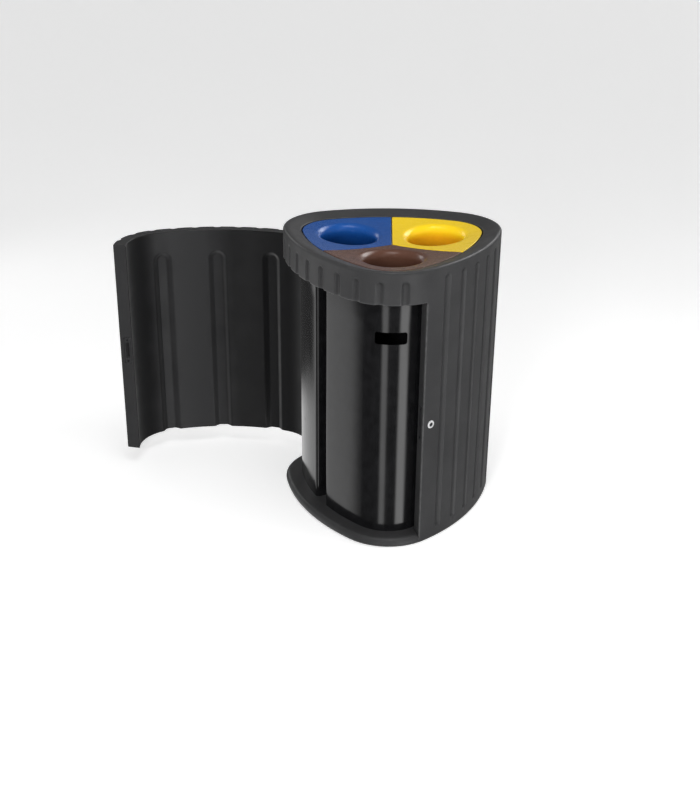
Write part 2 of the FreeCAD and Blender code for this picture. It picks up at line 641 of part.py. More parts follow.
def trumpet(radius, flare, z_top, z_bottom):
    """Solid funnel of revolution about +Z: flared mouth over a slightly tapered throat."""
    foot = Vector(0, 0, z_bottom)
    foot_edge = Vector(radius - THROAT_TAPER, 0, z_bottom)
    neck = Vector(radius, 0, z_top - flare)
    bulge = flare * (1 - math.cos(math.radians(45)))
    middle = Vector(radius + bulge, 0, z_top - bulge)
    mouth = Vector(radius + flare, 0, z_top)
    brim = Vector(radius + flare, 0, z_top + 8)
    top = Vector(0, 0, z_top + 8)
    edges = [Part.makeLine(foot, foot_edge), Part.makeLine(foot_edge, neck),
             Part.Arc(neck, middle, mouth).toShape(), Part.makeLine(mouth, brim),
             Part.makeLine(brim, top), Part.makeLine(top, foot)]
    return Part.Face(Part.Wire(edges)).revolve(Vector(0, 0, 0), UP, 360)


def left_inlet():
    """Lid third, funnel, two wall tabs and the hub boss, over the left corner."""
    corner = CORNERS[2]
    bowl = dish(LID_T).fuse(prism(RING_IN, LID_EDGE_Z - LID_T, LID_EDGE_Z)).cut(dish(0.0))
    bowl = bowl.common(prism(RING_IN + LID_GAP, 900, 1000))
    lid = bowl.common(third_wedge(corner, SPLIT_GAP, 880, 1001))

    # The funnel stands square to the dish at the hole.
    hole_z = lid_z(HOLE_DIST / LID_R)
    tilt = math.degrees(math.atan(2 * (LID_EDGE_Z - LID_MID_Z) * HOLE_DIST / LID_R ** 2))
    inside = trumpet(THROAT_R, FLARE_R, 2.0, THROAT_Z - hole_z - 2)
    funnel = trumpet(THROAT_R + FUNNEL_T, FLARE_R - FUNNEL_T, -0.5, THROAT_Z - hole_z)
    funnel = funnel.cut(Part.makeBox(600, 600, 40, Vector(-300, -300, -0.5)))
    for shape in (inside, funnel):
        shape.rotate(Vector(0, 0, 0), left_of(polar(corner)), -tilt)
        shape.translate(polar(corner, HOLE_DIST, hole_z))

    tabs, holes = [], []
    for angle in (corner - TAB_SPREAD, corner + TAB_SPREAD):
        out = polar(angle)
        tabs.append(block(outline(angle, HOOD_IN + 1.0), left_of(out), out * -1.0, UP,
                          (-14, 14), (0, 4.0), (TAB_Z - 10, LID_EDGE_Z - LID_T)))
        holes.append(cylinder(3.2, outline(angle, HOOD_IN + 10, TAB_Z), out, 20))
    hub = polar(corner, HUB_SCREW_R)
    boss_z = SPIDER_Z + SPIDER_T
    inlet = lid.multiFuse([funnel] + tabs + [pillar(7.0, hub, boss_z, boss_z + 5)])
    inlet = inlet.cut(inside).cut(holes)
    return inlet.cut(pillar(2.0, hub, 950.0, 961.0)).removeSplitter()


def make_inlets():
    inlet = left_inlet()
    for name, turn in (("blue", 0.0), ("yellow", -120.0), ("brown", 120.0)):
        one = inlet.copy()
        one.rotate(Vector(0, 0, 0), UP, turn)
        save("inlet_" + name, one)


def make_spider():
    """Three-armed bracket under the lids, with a lug at each arm's end."""
    top = SPIDER_Z + SPIDER_T
    arms = []
    for side in SIDES:
        out = polar(side)
        length = outline(side, HOOD_IN).Length - 0.8
        for reach, half_width, drop in (((0, length), 18, 0), ((length - 5, length), 24, 17)):
            arms.append(block(Vector(0, 0, 0), out, left_of(out), UP,
                              reach, (-half_width, half_width), (SPIDER_Z - drop, top)))
    spider = pillar(HUB_R, Vector(0, 0, 0), SPIDER_Z, top).multiFuse(arms)
    holes = [cylinder(3.2, p - out * 10, out, 20) for p, out in ARM_SCREWS]
    save("inlet_spider", spider.cut(holes + [pillar(2.3, p, 940, 970) for p in HUB_SCREWS]))


def make_inlet_screws():
    wall = dict(shank_r=2.9, head_r=5.2, head_h=3.2, key=3.4)
    save("inlet_screws", Part.makeCompound(
        screws([(p - out * 5.0, out) for p, out in TAB_SCREWS], length=18, **wall)))
    save("spider_screws", Part.makeCompound(
        screws([(p - out * 5.8, out) for p, out in ARM_SCREWS], length=19, **wall)))
    save("hub_screws", Part.makeCompound(
        screws([(p + UP * SPIDER_Z, UP) for p in HUB_SCREWS],
               shank_r=1.95, length=9.0, head_r=3.8, head_h=2.2, key=2.2)))


# ---------------------------------------------------------------- containers
CAN_IN = 60.0            # inset of the container face
CAN_GAP = 30.0           # half gap between two containers
CAN_Z0, CAN_Z1 = 33.0, 882.0
CAN_T = 2.0
CAN_BEND = 14.0
PAN_T = 2.5


def can_prism(shrink, corner, z0, z1):
    """Container outline, shrunk on all sides."""
    return prism(CAN_IN + shrink, z0, z1).common(
        third_wedge(corner, CAN_GAP + shrink, z0 - 1, z1 + 1))


def bend_corners(shape, height, out, radius):
    """Round the upright edges near the plan centre and at the ends of the curved face."""
    edges = []
    for edge in shape.Edges:
        middle = edge.CenterOfMass
        placed = math.hypot(middle.x, middle.y) < 80 or abs(middle.dot(out)) < 190
        if abs(edge.Length - height) < 0.1 and placed:
            edges.append(edge)
    return shape.makeFillet(radius, edges)


def make_container(name, corner):
    out = polar(corner)
    height = CAN_Z1 - CAN_Z0
    outside = bend_corners(can_prism(0, corner, CAN_Z0, CAN_Z1), height, out, CAN_BEND)
    inside = bend_corners(can_prism(CAN_T, corner, CAN_Z0 - 2, CAN_Z1 + 2),
                          height + 4, out, CAN_BEND - CAN_T)
    slot = block(polar(corner, 200, 754), left_of(out), UP, out, (-53, 53), (-21, 21), (0, 300))
    slot = slot.makeFillet(8.0, [e for e in slot.Edges if abs(e.Length - 300) < 0.1])
    save("container_%s_wrap" % name, outside.cut(inside).cut(slot))
    pan = inside.common(prism(0, CAN_Z0 + 3.0, CAN_Z0 + 30.0))
    hollow = can_prism(CAN_T + PAN_T, corner, CAN_Z0 + 3.0 + PAN_T, CAN_Z0 + 40)
    save("container_%s_pan" % name, pan.cut(hollow))


# ---------------------------------------------------------------- base hardware
def vent_plug(point, z0, z1, skin_z):
    """Plug through a vent hole, with a flange just above the skin."""
    flange_z = skin_z + SKIN + 0.3
    return pillar(4.98, point, z0, z1).fuse(pillar(6.2, point, flange_z, flange_z + 1.5))


def make_base_hardware():
    save("anchor_sleeves", Part.makeCompound(
        [pillar(SLEEVE_R, p, 0, SLEEVE_H).cut(pillar(6.5, p, -1, 29)) for p in ANCHORS]))
    save("body_vent_plug", vent_plug(BODY_VENT, 0.6, 6.6, 0))
    save("door_vent_plug", vent_plug(DOOR_VENT, DOOR_Z0 - 0.2, DOOR_Z0 + 6.8, DOOR_Z0), swing=True)


os.makedirs("parts", exist_ok=True)
make_body()
make_door()
make_lower_pivot()
make_upper_pivot()
make_hinge_fittings()
make_lock_housing()
make_lock_plug()
make_lock_nut()
make_lock_cam()
make_jamb_plate()
make_door_keeper()
make_inlets()
make_spider()
make_inlet_screws()
for can_name, can_corner in zip(("front", "right", "left"), CORNERS):
    make_container(can_name, can_corner)
make_base_hardware()
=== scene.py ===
"""Three-way recycling bin with its door open.

The plan is a rounded triangle centred on the Z axis, with corners at -90, 30 and 150 degrees.
-Y is the front, +Z is up and the floor is z = 0. The door closes the left and front-left side,
from the hinge at the back left round to the lock jamb at the front. Three coloured lids with
round inlets stand over three glossy black containers, one in each corner.
Shapes are worked out in mm and degrees; meshes, materials and lights are in metres.
"""
import bpy
import numpy as np
from math import atan, atan2, cos, degrees, pi, radians as rad, sin, sqrt
from mathutils import Matrix, Vector


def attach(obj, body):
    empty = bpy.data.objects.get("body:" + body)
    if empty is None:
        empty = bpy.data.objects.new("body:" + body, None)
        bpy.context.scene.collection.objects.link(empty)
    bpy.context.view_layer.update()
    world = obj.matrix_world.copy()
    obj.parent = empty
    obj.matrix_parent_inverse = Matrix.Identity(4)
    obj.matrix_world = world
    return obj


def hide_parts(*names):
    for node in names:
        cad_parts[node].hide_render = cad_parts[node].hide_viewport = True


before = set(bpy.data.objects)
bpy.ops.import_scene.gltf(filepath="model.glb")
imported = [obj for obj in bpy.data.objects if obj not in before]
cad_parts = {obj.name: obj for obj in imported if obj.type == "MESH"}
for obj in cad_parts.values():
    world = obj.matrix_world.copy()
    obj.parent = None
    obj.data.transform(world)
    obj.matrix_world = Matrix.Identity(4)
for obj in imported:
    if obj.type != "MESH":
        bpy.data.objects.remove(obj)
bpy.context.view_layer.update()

# ------------------------------------------------------------------ plan, mm and degrees
CORNER_ANGLES, SIDE_ANGLES = (-90.0, 30.0, 150.0), (-30.0, 90.0, 210.0)
CORNER_DIST, CORNER_R = 208.0, 201.0      # corner arc centres and radius
SIDE_DIST = 403.5                         # side arc centres, across the axis from their arcs
SIDE_R = CORNER_R + sqrt(CORNER_DIST ** 2 + CORNER_DIST * SIDE_DIST + SIDE_DIST ** 2)
CORNER_HALF = 90.0 - degrees(atan2(CORNER_DIST + SIDE_DIST * 0.5, SIDE_DIST * sin(rad(60))))
CORNER_LEN = CORNER_R * rad(2 * CORNER_HALF)
SIDE_LEN = SIDE_R * rad(120.0 - 2 * CORNER_HALF)

HINGE = (-276.5, 252.4)
LOCK_JAMB, HINGE_JAMB = -73.5, 133.5      # directions of the two doorway edges
DOOR_OPEN = 118.2
LOCK_ANGLE, LOCK_Z, KEEPER_Z = -48.67, 452.0, 471.5

FLUTE_DEPTH, FLUTE_HALF, FLUTE_PITCH = 7.0, 14.0, 83.0
FLUTE_R = (FLUTE_HALF ** 2 + FLUTE_DEPTH ** 2) / (2 * FLUTE_DEPTH)

# body
BODY_TOP, SLAB_TOP = 1000.0, 33.0
BASE_EDGE, SLAB_EDGE, TOP_EDGE = 13.0, 18.0, 12.0       # edge roundings
FLUTE_FOOT_Z, FLUTE_TOP_Z = 53.0, 954.0
TOP_SLOPE = 16.0 / 52.0                                 # fall of the top towards the middle
POCKET_INSET, POCKET_Z = 64.0, 977.3                    # lid pocket
GROOVE_INSET, GROOVE_HALF, GROOVE_Z = 67.5, 4.2, 962.0
CAVITY_INSET, SHAFT_INSET, CAVITY_TOP = 52.0, 76.0, 887.0
HINGE_SEAT_R, LOCK_BORE_R = 26.5, 9.9

# door
DOOR_MID, DOOR_HALF, DOOR_WALL, JAMB_GAP = 472.0, 412.0, 48.0, 4.0
BARREL_R, BUSH_R, BUSH_DEPTH = 24.0, 12.2, 35.0
CHANNELS = [-150.0 - 223.0 * i for i in range(4)]       # places along the outline
CHANNEL_TOP, CHANNEL_HALF, CHANNEL_SIDE, CHANNEL_DEPTH = 808.0, 38.0, 24.0, 17.0


def unit(angle):
    return np.array([cos(rad(angle)), sin(rad(angle))])


def turn_left(vector):
    return np.array([-vector[1], vector[0]])


def along(x, y, origin, axis):
    """Coordinate of the point along an axis through the origin given."""
    return (x - origin[0]) * axis[0] + (y - origin[1]) * axis[1]


def left_of(x, y, angle):
    """Distance to the left of the ray from (0, 0) at an angle."""
    return x * -sin(rad(angle)) + y * cos(rad(angle))


def bisect(above, low, high, steps):
    """Value, or array of values, at which above() turns true."""
    for _ in range(steps):
        middle = (low + high) / 2
        over = above(middle)
        low, high = np.where(over, low, middle), np.where(over, middle, high)
    return (low + high) / 2


def arc(angle):
    """Centre and radius of the outline arc whose normal has this angle."""
    for k in CORNER_ANGLES:
        if abs((angle - k + 180.0) % 360.0 - 180.0) <= CORNER_HALF + 1e-9:
            return CORNER_DIST * cos(rad(k)), CORNER_DIST * sin(rad(k)), CORNER_R
    for k in SIDE_ANGLES:
        if abs((angle - k + 180.0) % 360.0 - 180.0) <= 60.0 - CORNER_HALF + 1e-6:
            return -SIDE_DIST * cos(rad(k)), -SIDE_DIST * sin(rad(k)), SIDE_R
    raise ValueError(angle)


def on_outline(angle, inset=0.0):
    """Outline point with this normal angle, moved inwards by the inset."""
    cx, cy, radius = arc(angle)
    return np.array([cx + (radius - inset) * cos(rad(angle)),
                     cy + (radius - inset) * sin(rad(angle))])


def polar(point):
    return degrees(atan2(point[1], point[0]))


def angle_at(length):
    """Normal angle at a length along the outline, measured from the front corner."""
    length = (length + CORNER_LEN / 2) % (3 * (CORNER_LEN + SIDE_LEN))
    k = int(length // (CORNER_LEN + SIDE_LEN))
    length -= k * (CORNER_LEN + SIDE_LEN)
    base = -90.0 + 120.0 * k
    if length <= CORNER_LEN:
        return base - CORNER_HALF + degrees(length / CORNER_R)
    return base + CORNER_HALF + degrees((length - CORNER_LEN) / SIDE_R)


def flute_centres():
    """Flute circle centres on the body and on the door."""
    places = []
    for k in range(7):
        places += [FLUTE_PITCH * (k + 0.5), -FLUTE_PITCH * (k + 0.5)]
    last = FLUTE_PITCH * 6.5
    rest = 3 * (CORNER_LEN + SIDE_LEN) - 2 * last
    places += [last + rest * k / 15.0 for k in range(1, 15)]
    # no flute where the lock sits
    places = sorted(s for s in places if abs(s - FLUTE_PITCH * 1.5) > 1.0)
    on_body, on_door = [], []
    for place in places:
        angle = angle_at(place)
        seen = polar(on_outline(angle))
        seen = seen if seen > 0 else seen + 360.0
        in_door = HINGE_JAMB + 1.0 < seen < 360.0 + LOCK_JAMB - 1.0
        (on_door if in_door else on_body).append(on_outline(angle, FLUTE_DEPTH - FLUTE_R))
    return np.array(on_body), np.array(on_door)


BODY_FLUTES, DOOR_FLUTES = flute_centres()

# lock: its place on the outline and outward normal
LOCK_OUT = unit(LOCK_ANGLE)
LOCK_POINT = on_outline(LOCK_ANGLE)
# lock-side jamb: axes inwards and into the doorway, origin 27 mm behind the lock face
JAMB_IN = -unit(LOCK_JAMB)
JAMB_ACROSS = turn_left(JAMB_IN)
jamb_edge = on_outline(bisect(lambda a: polar(on_outline(a)) > LOCK_JAMB, -130.0, -40.0, 60))
behind_lock = LOCK_POINT - LOCK_OUT * 27.0
JAMB_POINT = jamb_edge + JAMB_IN * (float((behind_lock - jamb_edge) @ LOCK_OUT)
                                    / float(JAMB_IN @ LOCK_OUT))
# hinge: axes outwards from the corner centre and along the wall, door closed and open
hinge_out = np.array(HINGE) - CORNER_DIST * unit(150.0)
hinge_out = hinge_out / np.linalg.norm(hinge_out)
HINGE_ALONG = turn_left(hinge_out)
open_angle = polar(hinge_out) - DOOR_OPEN
OPEN_OUT, OPEN_ALONG = unit(open_angle), unit(open_angle + 90.0)


# ------------------------------------------------------------------ distance fields, mm
def outline(x, y):
    """Signed distance to the plan outline, negative inside."""
    distance = None
    for k in SIDE_ANGLES:
        side = np.hypot(x + SIDE_DIST * cos(rad(k)), y + SIDE_DIST * sin(rad(k))) - SIDE_R
        distance = side if distance is None else np.maximum(distance, side)
    for k in CORNER_ANGLES:
        c, s = cos(rad(k)), sin(rad(k))
        dx, dy = x - CORNER_DIST * c, y - CORNER_DIST * s
        out, across = dx * c + dy * s, -dx * s + dy * c
        in_corner = (out > 0) & (np.abs(across) <= out * np.tan(rad(CORNER_HALF)))
        distance = np.where(in_corner, np.hypot(dx, dy) - CORNER_R, distance)
    return distance


def both(a, b, r):
    """Intersection, with the edge rounded by r."""
    return np.minimum(-r, np.maximum(a, b)) + np.hypot(np.maximum(r + a, 0), np.maximum(r + b, 0))


def either(a, b, r):
    """Union, with the inside edge rounded by r."""
    return np.maximum(r, np.minimum(a, b)) - np.hypot(np.maximum(r - a, 0), np.maximum(r - b, 0))


def nearest(x, y, points):
    squared = None
    for px, py in points:
        e = (x - px) ** 2 + (y - py) ** 2
        squared = e if squared is None else np.minimum(squared, e)
    return np.sqrt(squared)


def box(u, v, u_span, v_span):
    (u0, u1), (v0, v1) = u_span, v_span
    return np.maximum(np.abs(u - (u0 + u1) / 2) - (u1 - u0) / 2,
                      np.abs(v - (v0 + v1) / 2) - (v1 - v0) / 2)


def jamb_axes(x, y):
    return along(x, y, JAMB_POINT, JAMB_ACROSS), along(x, y, JAMB_POINT, JAMB_IN)


def body_plan(x, y):
    """The parts of the body field that don't depend on height."""
    wedge = np.maximum(left_of(x, y, LOCK_JAMB), -left_of(x, y, HINGE_JAMB))
    seat = np.hypot(x - HINGE[0], y - HINGE[1]) - HINGE_SEAT_R
    swung = box(along(x, y, HINGE, OPEN_OUT), along(x, y, HINGE, OPEN_ALONG),
                (-60.0, 27.0), (0.0, 200.0))
    doorway = np.minimum(np.minimum(wedge, seat), swung)
    return (outline(x, y), nearest(x, y, BODY_FLUTES), nearest(x, y, DOOR_FLUTES), doorway,
            *jamb_axes(x, y), along(x, y, LOCK_POINT, LOCK_OUT),
            along(x, y, LOCK_POINT, turn_left(LOCK_OUT)))


def body_field(z, plan):
    edge, body_flute, door_flute, doorway, jamb_u, jamb_v, lock_out, lock_side = plan
    slab = both(both(edge, z - SLAB_TOP, SLAB_EDGE), -z, BASE_EDGE)
    hull = both(both(edge, z - BODY_TOP, TOP_EDGE), -z, BASE_EDGE)
    above = np.maximum(z - FLUTE_TOP_Z, 0)
    below = np.maximum(FLUTE_FOOT_Z - z, 0)
    flute = np.minimum(np.sqrt(body_flute ** 2 + above ** 2 + below ** 2),
                       np.sqrt(door_flute ** 2 + above ** 2)) - FLUTE_R
    hull = both(hull, -flute, 2.0)
    slope = (z - BODY_TOP + (-edge - TOP_EDGE) * TOP_SLOPE) / sqrt(1 + TOP_SLOPE * TOP_SLOPE)
    hull = both(hull, slope, 5.0)
    hull = both(hull, -np.maximum(edge + POCKET_INSET, POCKET_Z - z), 2.0)
    groove = np.maximum(np.abs(edge + GROOVE_INSET) - GROOVE_HALF, GROOVE_Z - z)
    hull = np.maximum(hull, -groove)
    # wide below the lids, then a narrower shaft right through
    cavity = np.minimum(np.maximum(edge + CAVITY_INSET, z - CAVITY_TOP), edge + SHAFT_INSET)
    hull = both(hull, -cavity, 3.0)
    hull = both(hull, -np.maximum(doorway, z - CAVITY_TOP), 5.0)
    plate_recess = np.maximum(box(jamb_u, jamb_v, (-3.6, 9.0), (-13.4, 13.4)),
                              np.abs(z - LOCK_Z) - 61.4)
    slot = np.maximum(box(jamb_u, jamb_v, (-15.0, 9.0), (-7.5, 7.5)),
                      np.abs(z - KEEPER_Z) - 31.5)
    hull = np.maximum(hull, -np.minimum(plate_recess, slot))
    bore = np.maximum(np.hypot(lock_side, z - LOCK_Z) - LOCK_BORE_R,
                      np.abs(lock_out + 10.0) - 22.0)
    hull = np.maximum(hull, -bore)
    return either(hull, slab, 1.5)


def door_plan(x, y):
    """The parts of the closed door's field that don't depend on height."""
    channels = []
    for place in CHANNELS:
        angle = angle_at(place)
        centre = on_outline(angle, DOOR_WALL)
        across = along(x, y, centre, unit(angle + 90.0))
        through = along(x, y, centre, unit(angle))
        channels.append(np.where(np.abs(through) < 90.0, across, 500.0))
    return (outline(x, y), nearest(x, y, DOOR_FLUTES), np.array(channels),
            along(x, y, HINGE, HINGE_ALONG), np.hypot(x - HINGE[0], y - HINGE[1]),
            *jamb_axes(x, y))


def door_field(z, plan):
    edge, flute, channels, hinge_along, hinge_r, jamb_u, jamb_v = plan
    above = np.maximum(z - (CHANNEL_TOP - CHANNEL_HALF), 0)
    recess = 0.0
    for across in channels:
        r = np.sqrt(across * across + above * above)
        t = np.clip((CHANNEL_HALF - r) / CHANNEL_SIDE, 0.0, 1.0)
        recess = np.maximum(recess, CHANNEL_DEPTH * t * t * (3 - 2 * t))
    shell = both(edge, -(edge + DOOR_WALL - recess), 5.0)
    shell = both(shell, -hinge_along, 1.0)
    shell = both(shell, JAMB_GAP - jamb_u, 2.5)
    shell = either(shell, hinge_r - BARREL_R, 2.0)
    shell = both(shell, -(flute - FLUTE_R), 3.5)
    shell = both(shell, np.abs(z - DOOR_MID) - DOOR_HALF, 3.5)
    # keeper seat and the deeper pocket behind it
    keeper_z = np.abs(z - KEEPER_Z)
    seat = np.maximum(box(jamb_u, jamb_v, (-2.0, JAMB_GAP + 3.0), (-13.2, 13.2)),
                      keeper_z - 51.3)
    pocket = np.maximum(box(jamb_u, jamb_v, (-2.0, 26.0), (-8.0, 8.0)), keeper_z - 32.5)
    shell = np.maximum(shell, -np.minimum(seat, pocket))
    bush = np.maximum(hinge_r - BUSH_R, DOOR_HALF - BUSH_DEPTH - np.abs(z - DOOR_MID))
    return np.maximum(shell, -bush)


# ------------------------------------------------------------------ meshing
def add_mesh(name, verts, faces):
    """Smooth mesh object from vertices in mm and four-sided faces."""
    mesh = bpy.data.meshes.new(name)
    count, sides = faces.shape
    mesh.vertices.add(len(verts))
    mesh.vertices.foreach_set("co", np.asarray(verts / 1000.0, np.float32).ravel())
    mesh.loops.add(count * sides)
    mesh.loops.foreach_set("vertex_index", faces.astype(np.int32).ravel())
    mesh.polygons.add(count)
    mesh.polygons.foreach_set("loop_start", np.arange(0, count * sides, sides, dtype=np.int32))
    mesh.polygons.foreach_set("loop_total", np.full(count, sides, np.int32))
    mesh.update(calc_edges=True)
    mesh.validate()
    mesh.polygons.foreach_set("use_smooth", np.full(len(mesh.polygons), True))
    return add_object(name, mesh)


def add_object(name, data):
    obj = bpy.data.objects.new(name, data)
    bpy.context.scene.collection.objects.link(obj)
    return obj


def loft(name, rings, sharp_angle):
    """Closed tube through rings of (x, y, z) arrays; the last ring joins the first."""
    n, m = len(rings[0][0]), len(rings)
    faces = []
    for i in range(m):
        here, after = i * n, ((i + 1) % m) * n
        for j in range(n):
            k = (j + 1) % n
            faces.append((here + j, here + k, after + k, after + j))
    obj = add_mesh(name, np.concatenate([np.stack(ring, 1) for ring in rings]), np.array(faces))
    obj.data.set_sharp_from_angle(angle=rad(sharp_angle))
    return obj


def gradient(level, points, step=0.25):
    slope = np.zeros_like(points)
    for axis in range(3):
        shift = np.zeros(3)
        shift[axis] = step
        slope[:, axis] = (level(points + shift) - level(points - shift)) / (2 * step)
    return slope


def project(level, start):
    """Points moved onto the zero level, and the surface normals there."""
    points = start.copy()
    for _ in range(3):
        value, slope = level(points), gradient(level, points)
        steep = np.maximum((slope * slope).sum(1), 0.25)
        points = points - np.clip(value / steep, -2.5, 2.5)[:, None] * slope
        points = start + np.clip(points - start, -4.0, 4.0)
    slope = gradient(level, points)
    return points, slope / np.maximum(np.linalg.norm(slope, axis=1), 1e-6)[:, None]


def cell_points(inside, values, grid):
    """One point per cell that the surface crosses, and the index of each cell's point."""
    nx, ny, nz = values.shape
    corners = [(a, b, c) for a in (0, 1) for b in (0, 1) for c in (0, 1)]
    count = np.zeros((nx - 1, ny - 1, nz - 1), np.int8)
    for a, b, c in corners:
        count += inside[a:nx - 1 + a, b:ny - 1 + b, c:nz - 1 + c]
    cells = np.nonzero((count > 0) & (count < 8))
    index = np.full(count.shape, -1, np.int32)
    index[cells] = np.arange(len(cells[0]))
    total, crossings = np.zeros((len(cells[0]), 3)), np.zeros(len(cells[0]))

    def corner(offset):
        at = tuple(cell + shift for cell, shift in zip(cells, offset))
        place = np.stack([levels[i] for levels, i in zip(grid, at)], 1).astype(float)
        return values[at].astype(float), place

    for start in corners:
        for axis in range(3):
            if start[axis]:
                continue
            end = list(start)
            end[axis] = 1
            (f0, p0), (f1, p1) = corner(start), corner(end)
            crossed = (f0 < 0) != (f1 < 0)
            t = np.where(crossed, f0 / np.where(crossed, f0 - f1, 1.0), 0.0)
            total += np.where(crossed[:, None], p0 + (p1 - p0) * t[:, None], 0.0)
            crossings += crossed
    return total / crossings[:, None], index


def cell_quads(inside, index):
    """A quad round every grid edge that the surface crosses."""
    quads = []
    for axis in range(3):
        first, second = [slice(None)] * 3, [slice(None)] * 3
        first[axis], second[axis] = slice(0, -1), slice(1, None)
        first_in = inside[tuple(first)]
        edges = np.argwhere(first_in != inside[tuple(second)])
        b, c = [(1, 2), (2, 0), (0, 1)][axis]
        edges = edges[(edges[:, b] > 0) & (edges[:, c] > 0)
                      & (edges[:, b] < inside.shape[b] - 1) & (edges[:, c] < inside.shape[c] - 1)]

        def cell(shift_b, shift_c):
            at = edges.copy()
            at[:, b] += shift_b
            at[:, c] += shift_c
            return index[tuple(at.T)]
        quad = np.stack([cell(-1, -1), cell(0, -1), cell(0, 0), cell(-1, 0)], 1)
        flip = ~first_in[tuple(edges.T)]
        quad[flip] = quad[flip][:, ::-1]
        quads.append(quad)
    return np.concatenate(quads)


def surface(name, field, plan_of, grid, turn=None):
    """Closed mesh of a field's zero level, turned about the hinge if asked."""
    grid = [np.asarray(levels, np.float32) for levels in grid]
    xs, ys, zs = grid
    plan = plan_of(*np.meshgrid(xs, ys, indexing="ij"))
    values = np.empty((len(xs), len(ys), len(zs)), np.float32)
    for i, z in enumerate(zs):
        values[:, :, i] = field(z, plan)
    inside = values < 0
    points, index = cell_points(inside, values, grid)
    faces = cell_quads(inside, index)
    points, normals = project(lambda p: field(p[:, 2], plan_of(p[:, 0], p[:, 1])), points)
    if turn is not None:
        c, s = cos(turn), sin(turn)
        rotation = np.array([[c, -s, 0], [s, c, 0], [0, 0, 1]])
        pivot = np.array([*HINGE, 0])
        points = (points - pivot) @ rotation.T + pivot
        normals = normals @ rotation.T
    obj = add_mesh(name, points, faces)
    obj.data.normals_split_custom_set_from_vertices([Vector(v) for v in normals])
    return obj


def grid_levels(*spans):
    """Grid levels from (start, end, step) spans."""
    out = []
    for start, end, step in spans:
        n = max(1, int(round((end - start) / step)))
        out += [start + (end - start) * i / n for i in range(n)]
    out.append(spans[-1][1])
    return np.array(out)


PLAN_STEP = 3.0
body = surface("moulded_body", body_field, body_plan, (
    grid_levels((-388.3, 388.3, PLAN_STEP)),
    grid_levels((-415.7, 342.1, PLAN_STEP)),
    grid_levels((-6.4, 76.0, 3.0), (76.0, 384.0, 28.0), (384.0, 518.0, 3.5),
                (518.0, 862.0, 29.0), (862.0, 892.0, 2.7), (892.0, 945.0, 6.0),
                (945.0, 1006.0, 2.5))))
door = surface("moulded_door", door_field, door_plan, (
    grid_levels((-390.3, 120.3, PLAN_STEP)),
    grid_levels((-415.7, 300.1, PLAN_STEP)),
    grid_levels((54.4, 72.0, 2.4), (72.0, 106.0, 8.0), (106.0, 416.0, 29.0),
                (416.0, 528.0, 3.5), (528.0, 754.0, 27.0), (754.0, 814.0, 4.0),
                (814.0, 874.0, 12.0), (874.0, 890.4, 2.4))), turn=-rad(DOOR_OPEN))


def sector_apex(angle, half_gap):
    return unit(angle) * (half_gap / sin(rad(60)))


def flanks(x, y, angle, half_gap):
    """Distances outside the two straight flanks of a third of the plan."""
    apex = sector_apex(angle, half_gap)
    px, py = x - apex[0], y - apex[1]
    return -left_of(px, py, angle - 60), left_of(px, py, angle + 60)


# ------------------------------------------------------------------ lids
LID_EDGE_Z, LID_MID_Z = 984.0, 964.5
LID_INSET, LID_HALF_GAP = 68.5, 1.5
LID_THICK, LID_ROUND = 4.5, 2.2
HOLE_DIST, THROAT_R, THROAT_WALL, FLARE_R, THROAT_Z = 174.0, 95.0, 4.0, 26.0, 893.0
# the throat leans with the slope of the dished top at the hole; 345 is the dish radius
TILT = atan(2 * (LID_EDGE_Z - LID_MID_Z) * HOLE_DIST / 345.0 ** 2)


def lid_z(x, y):
    """Height of the dished top; the dish follows scaled copies of the pocket outline."""
    scale = bisect(lambda m: outline(x / m, y / m) + POCKET_INSET <= 0, 1e-3, 1.4, 30)
    return LID_MID_Z + (LID_EDGE_Z - LID_MID_Z) * scale * scale


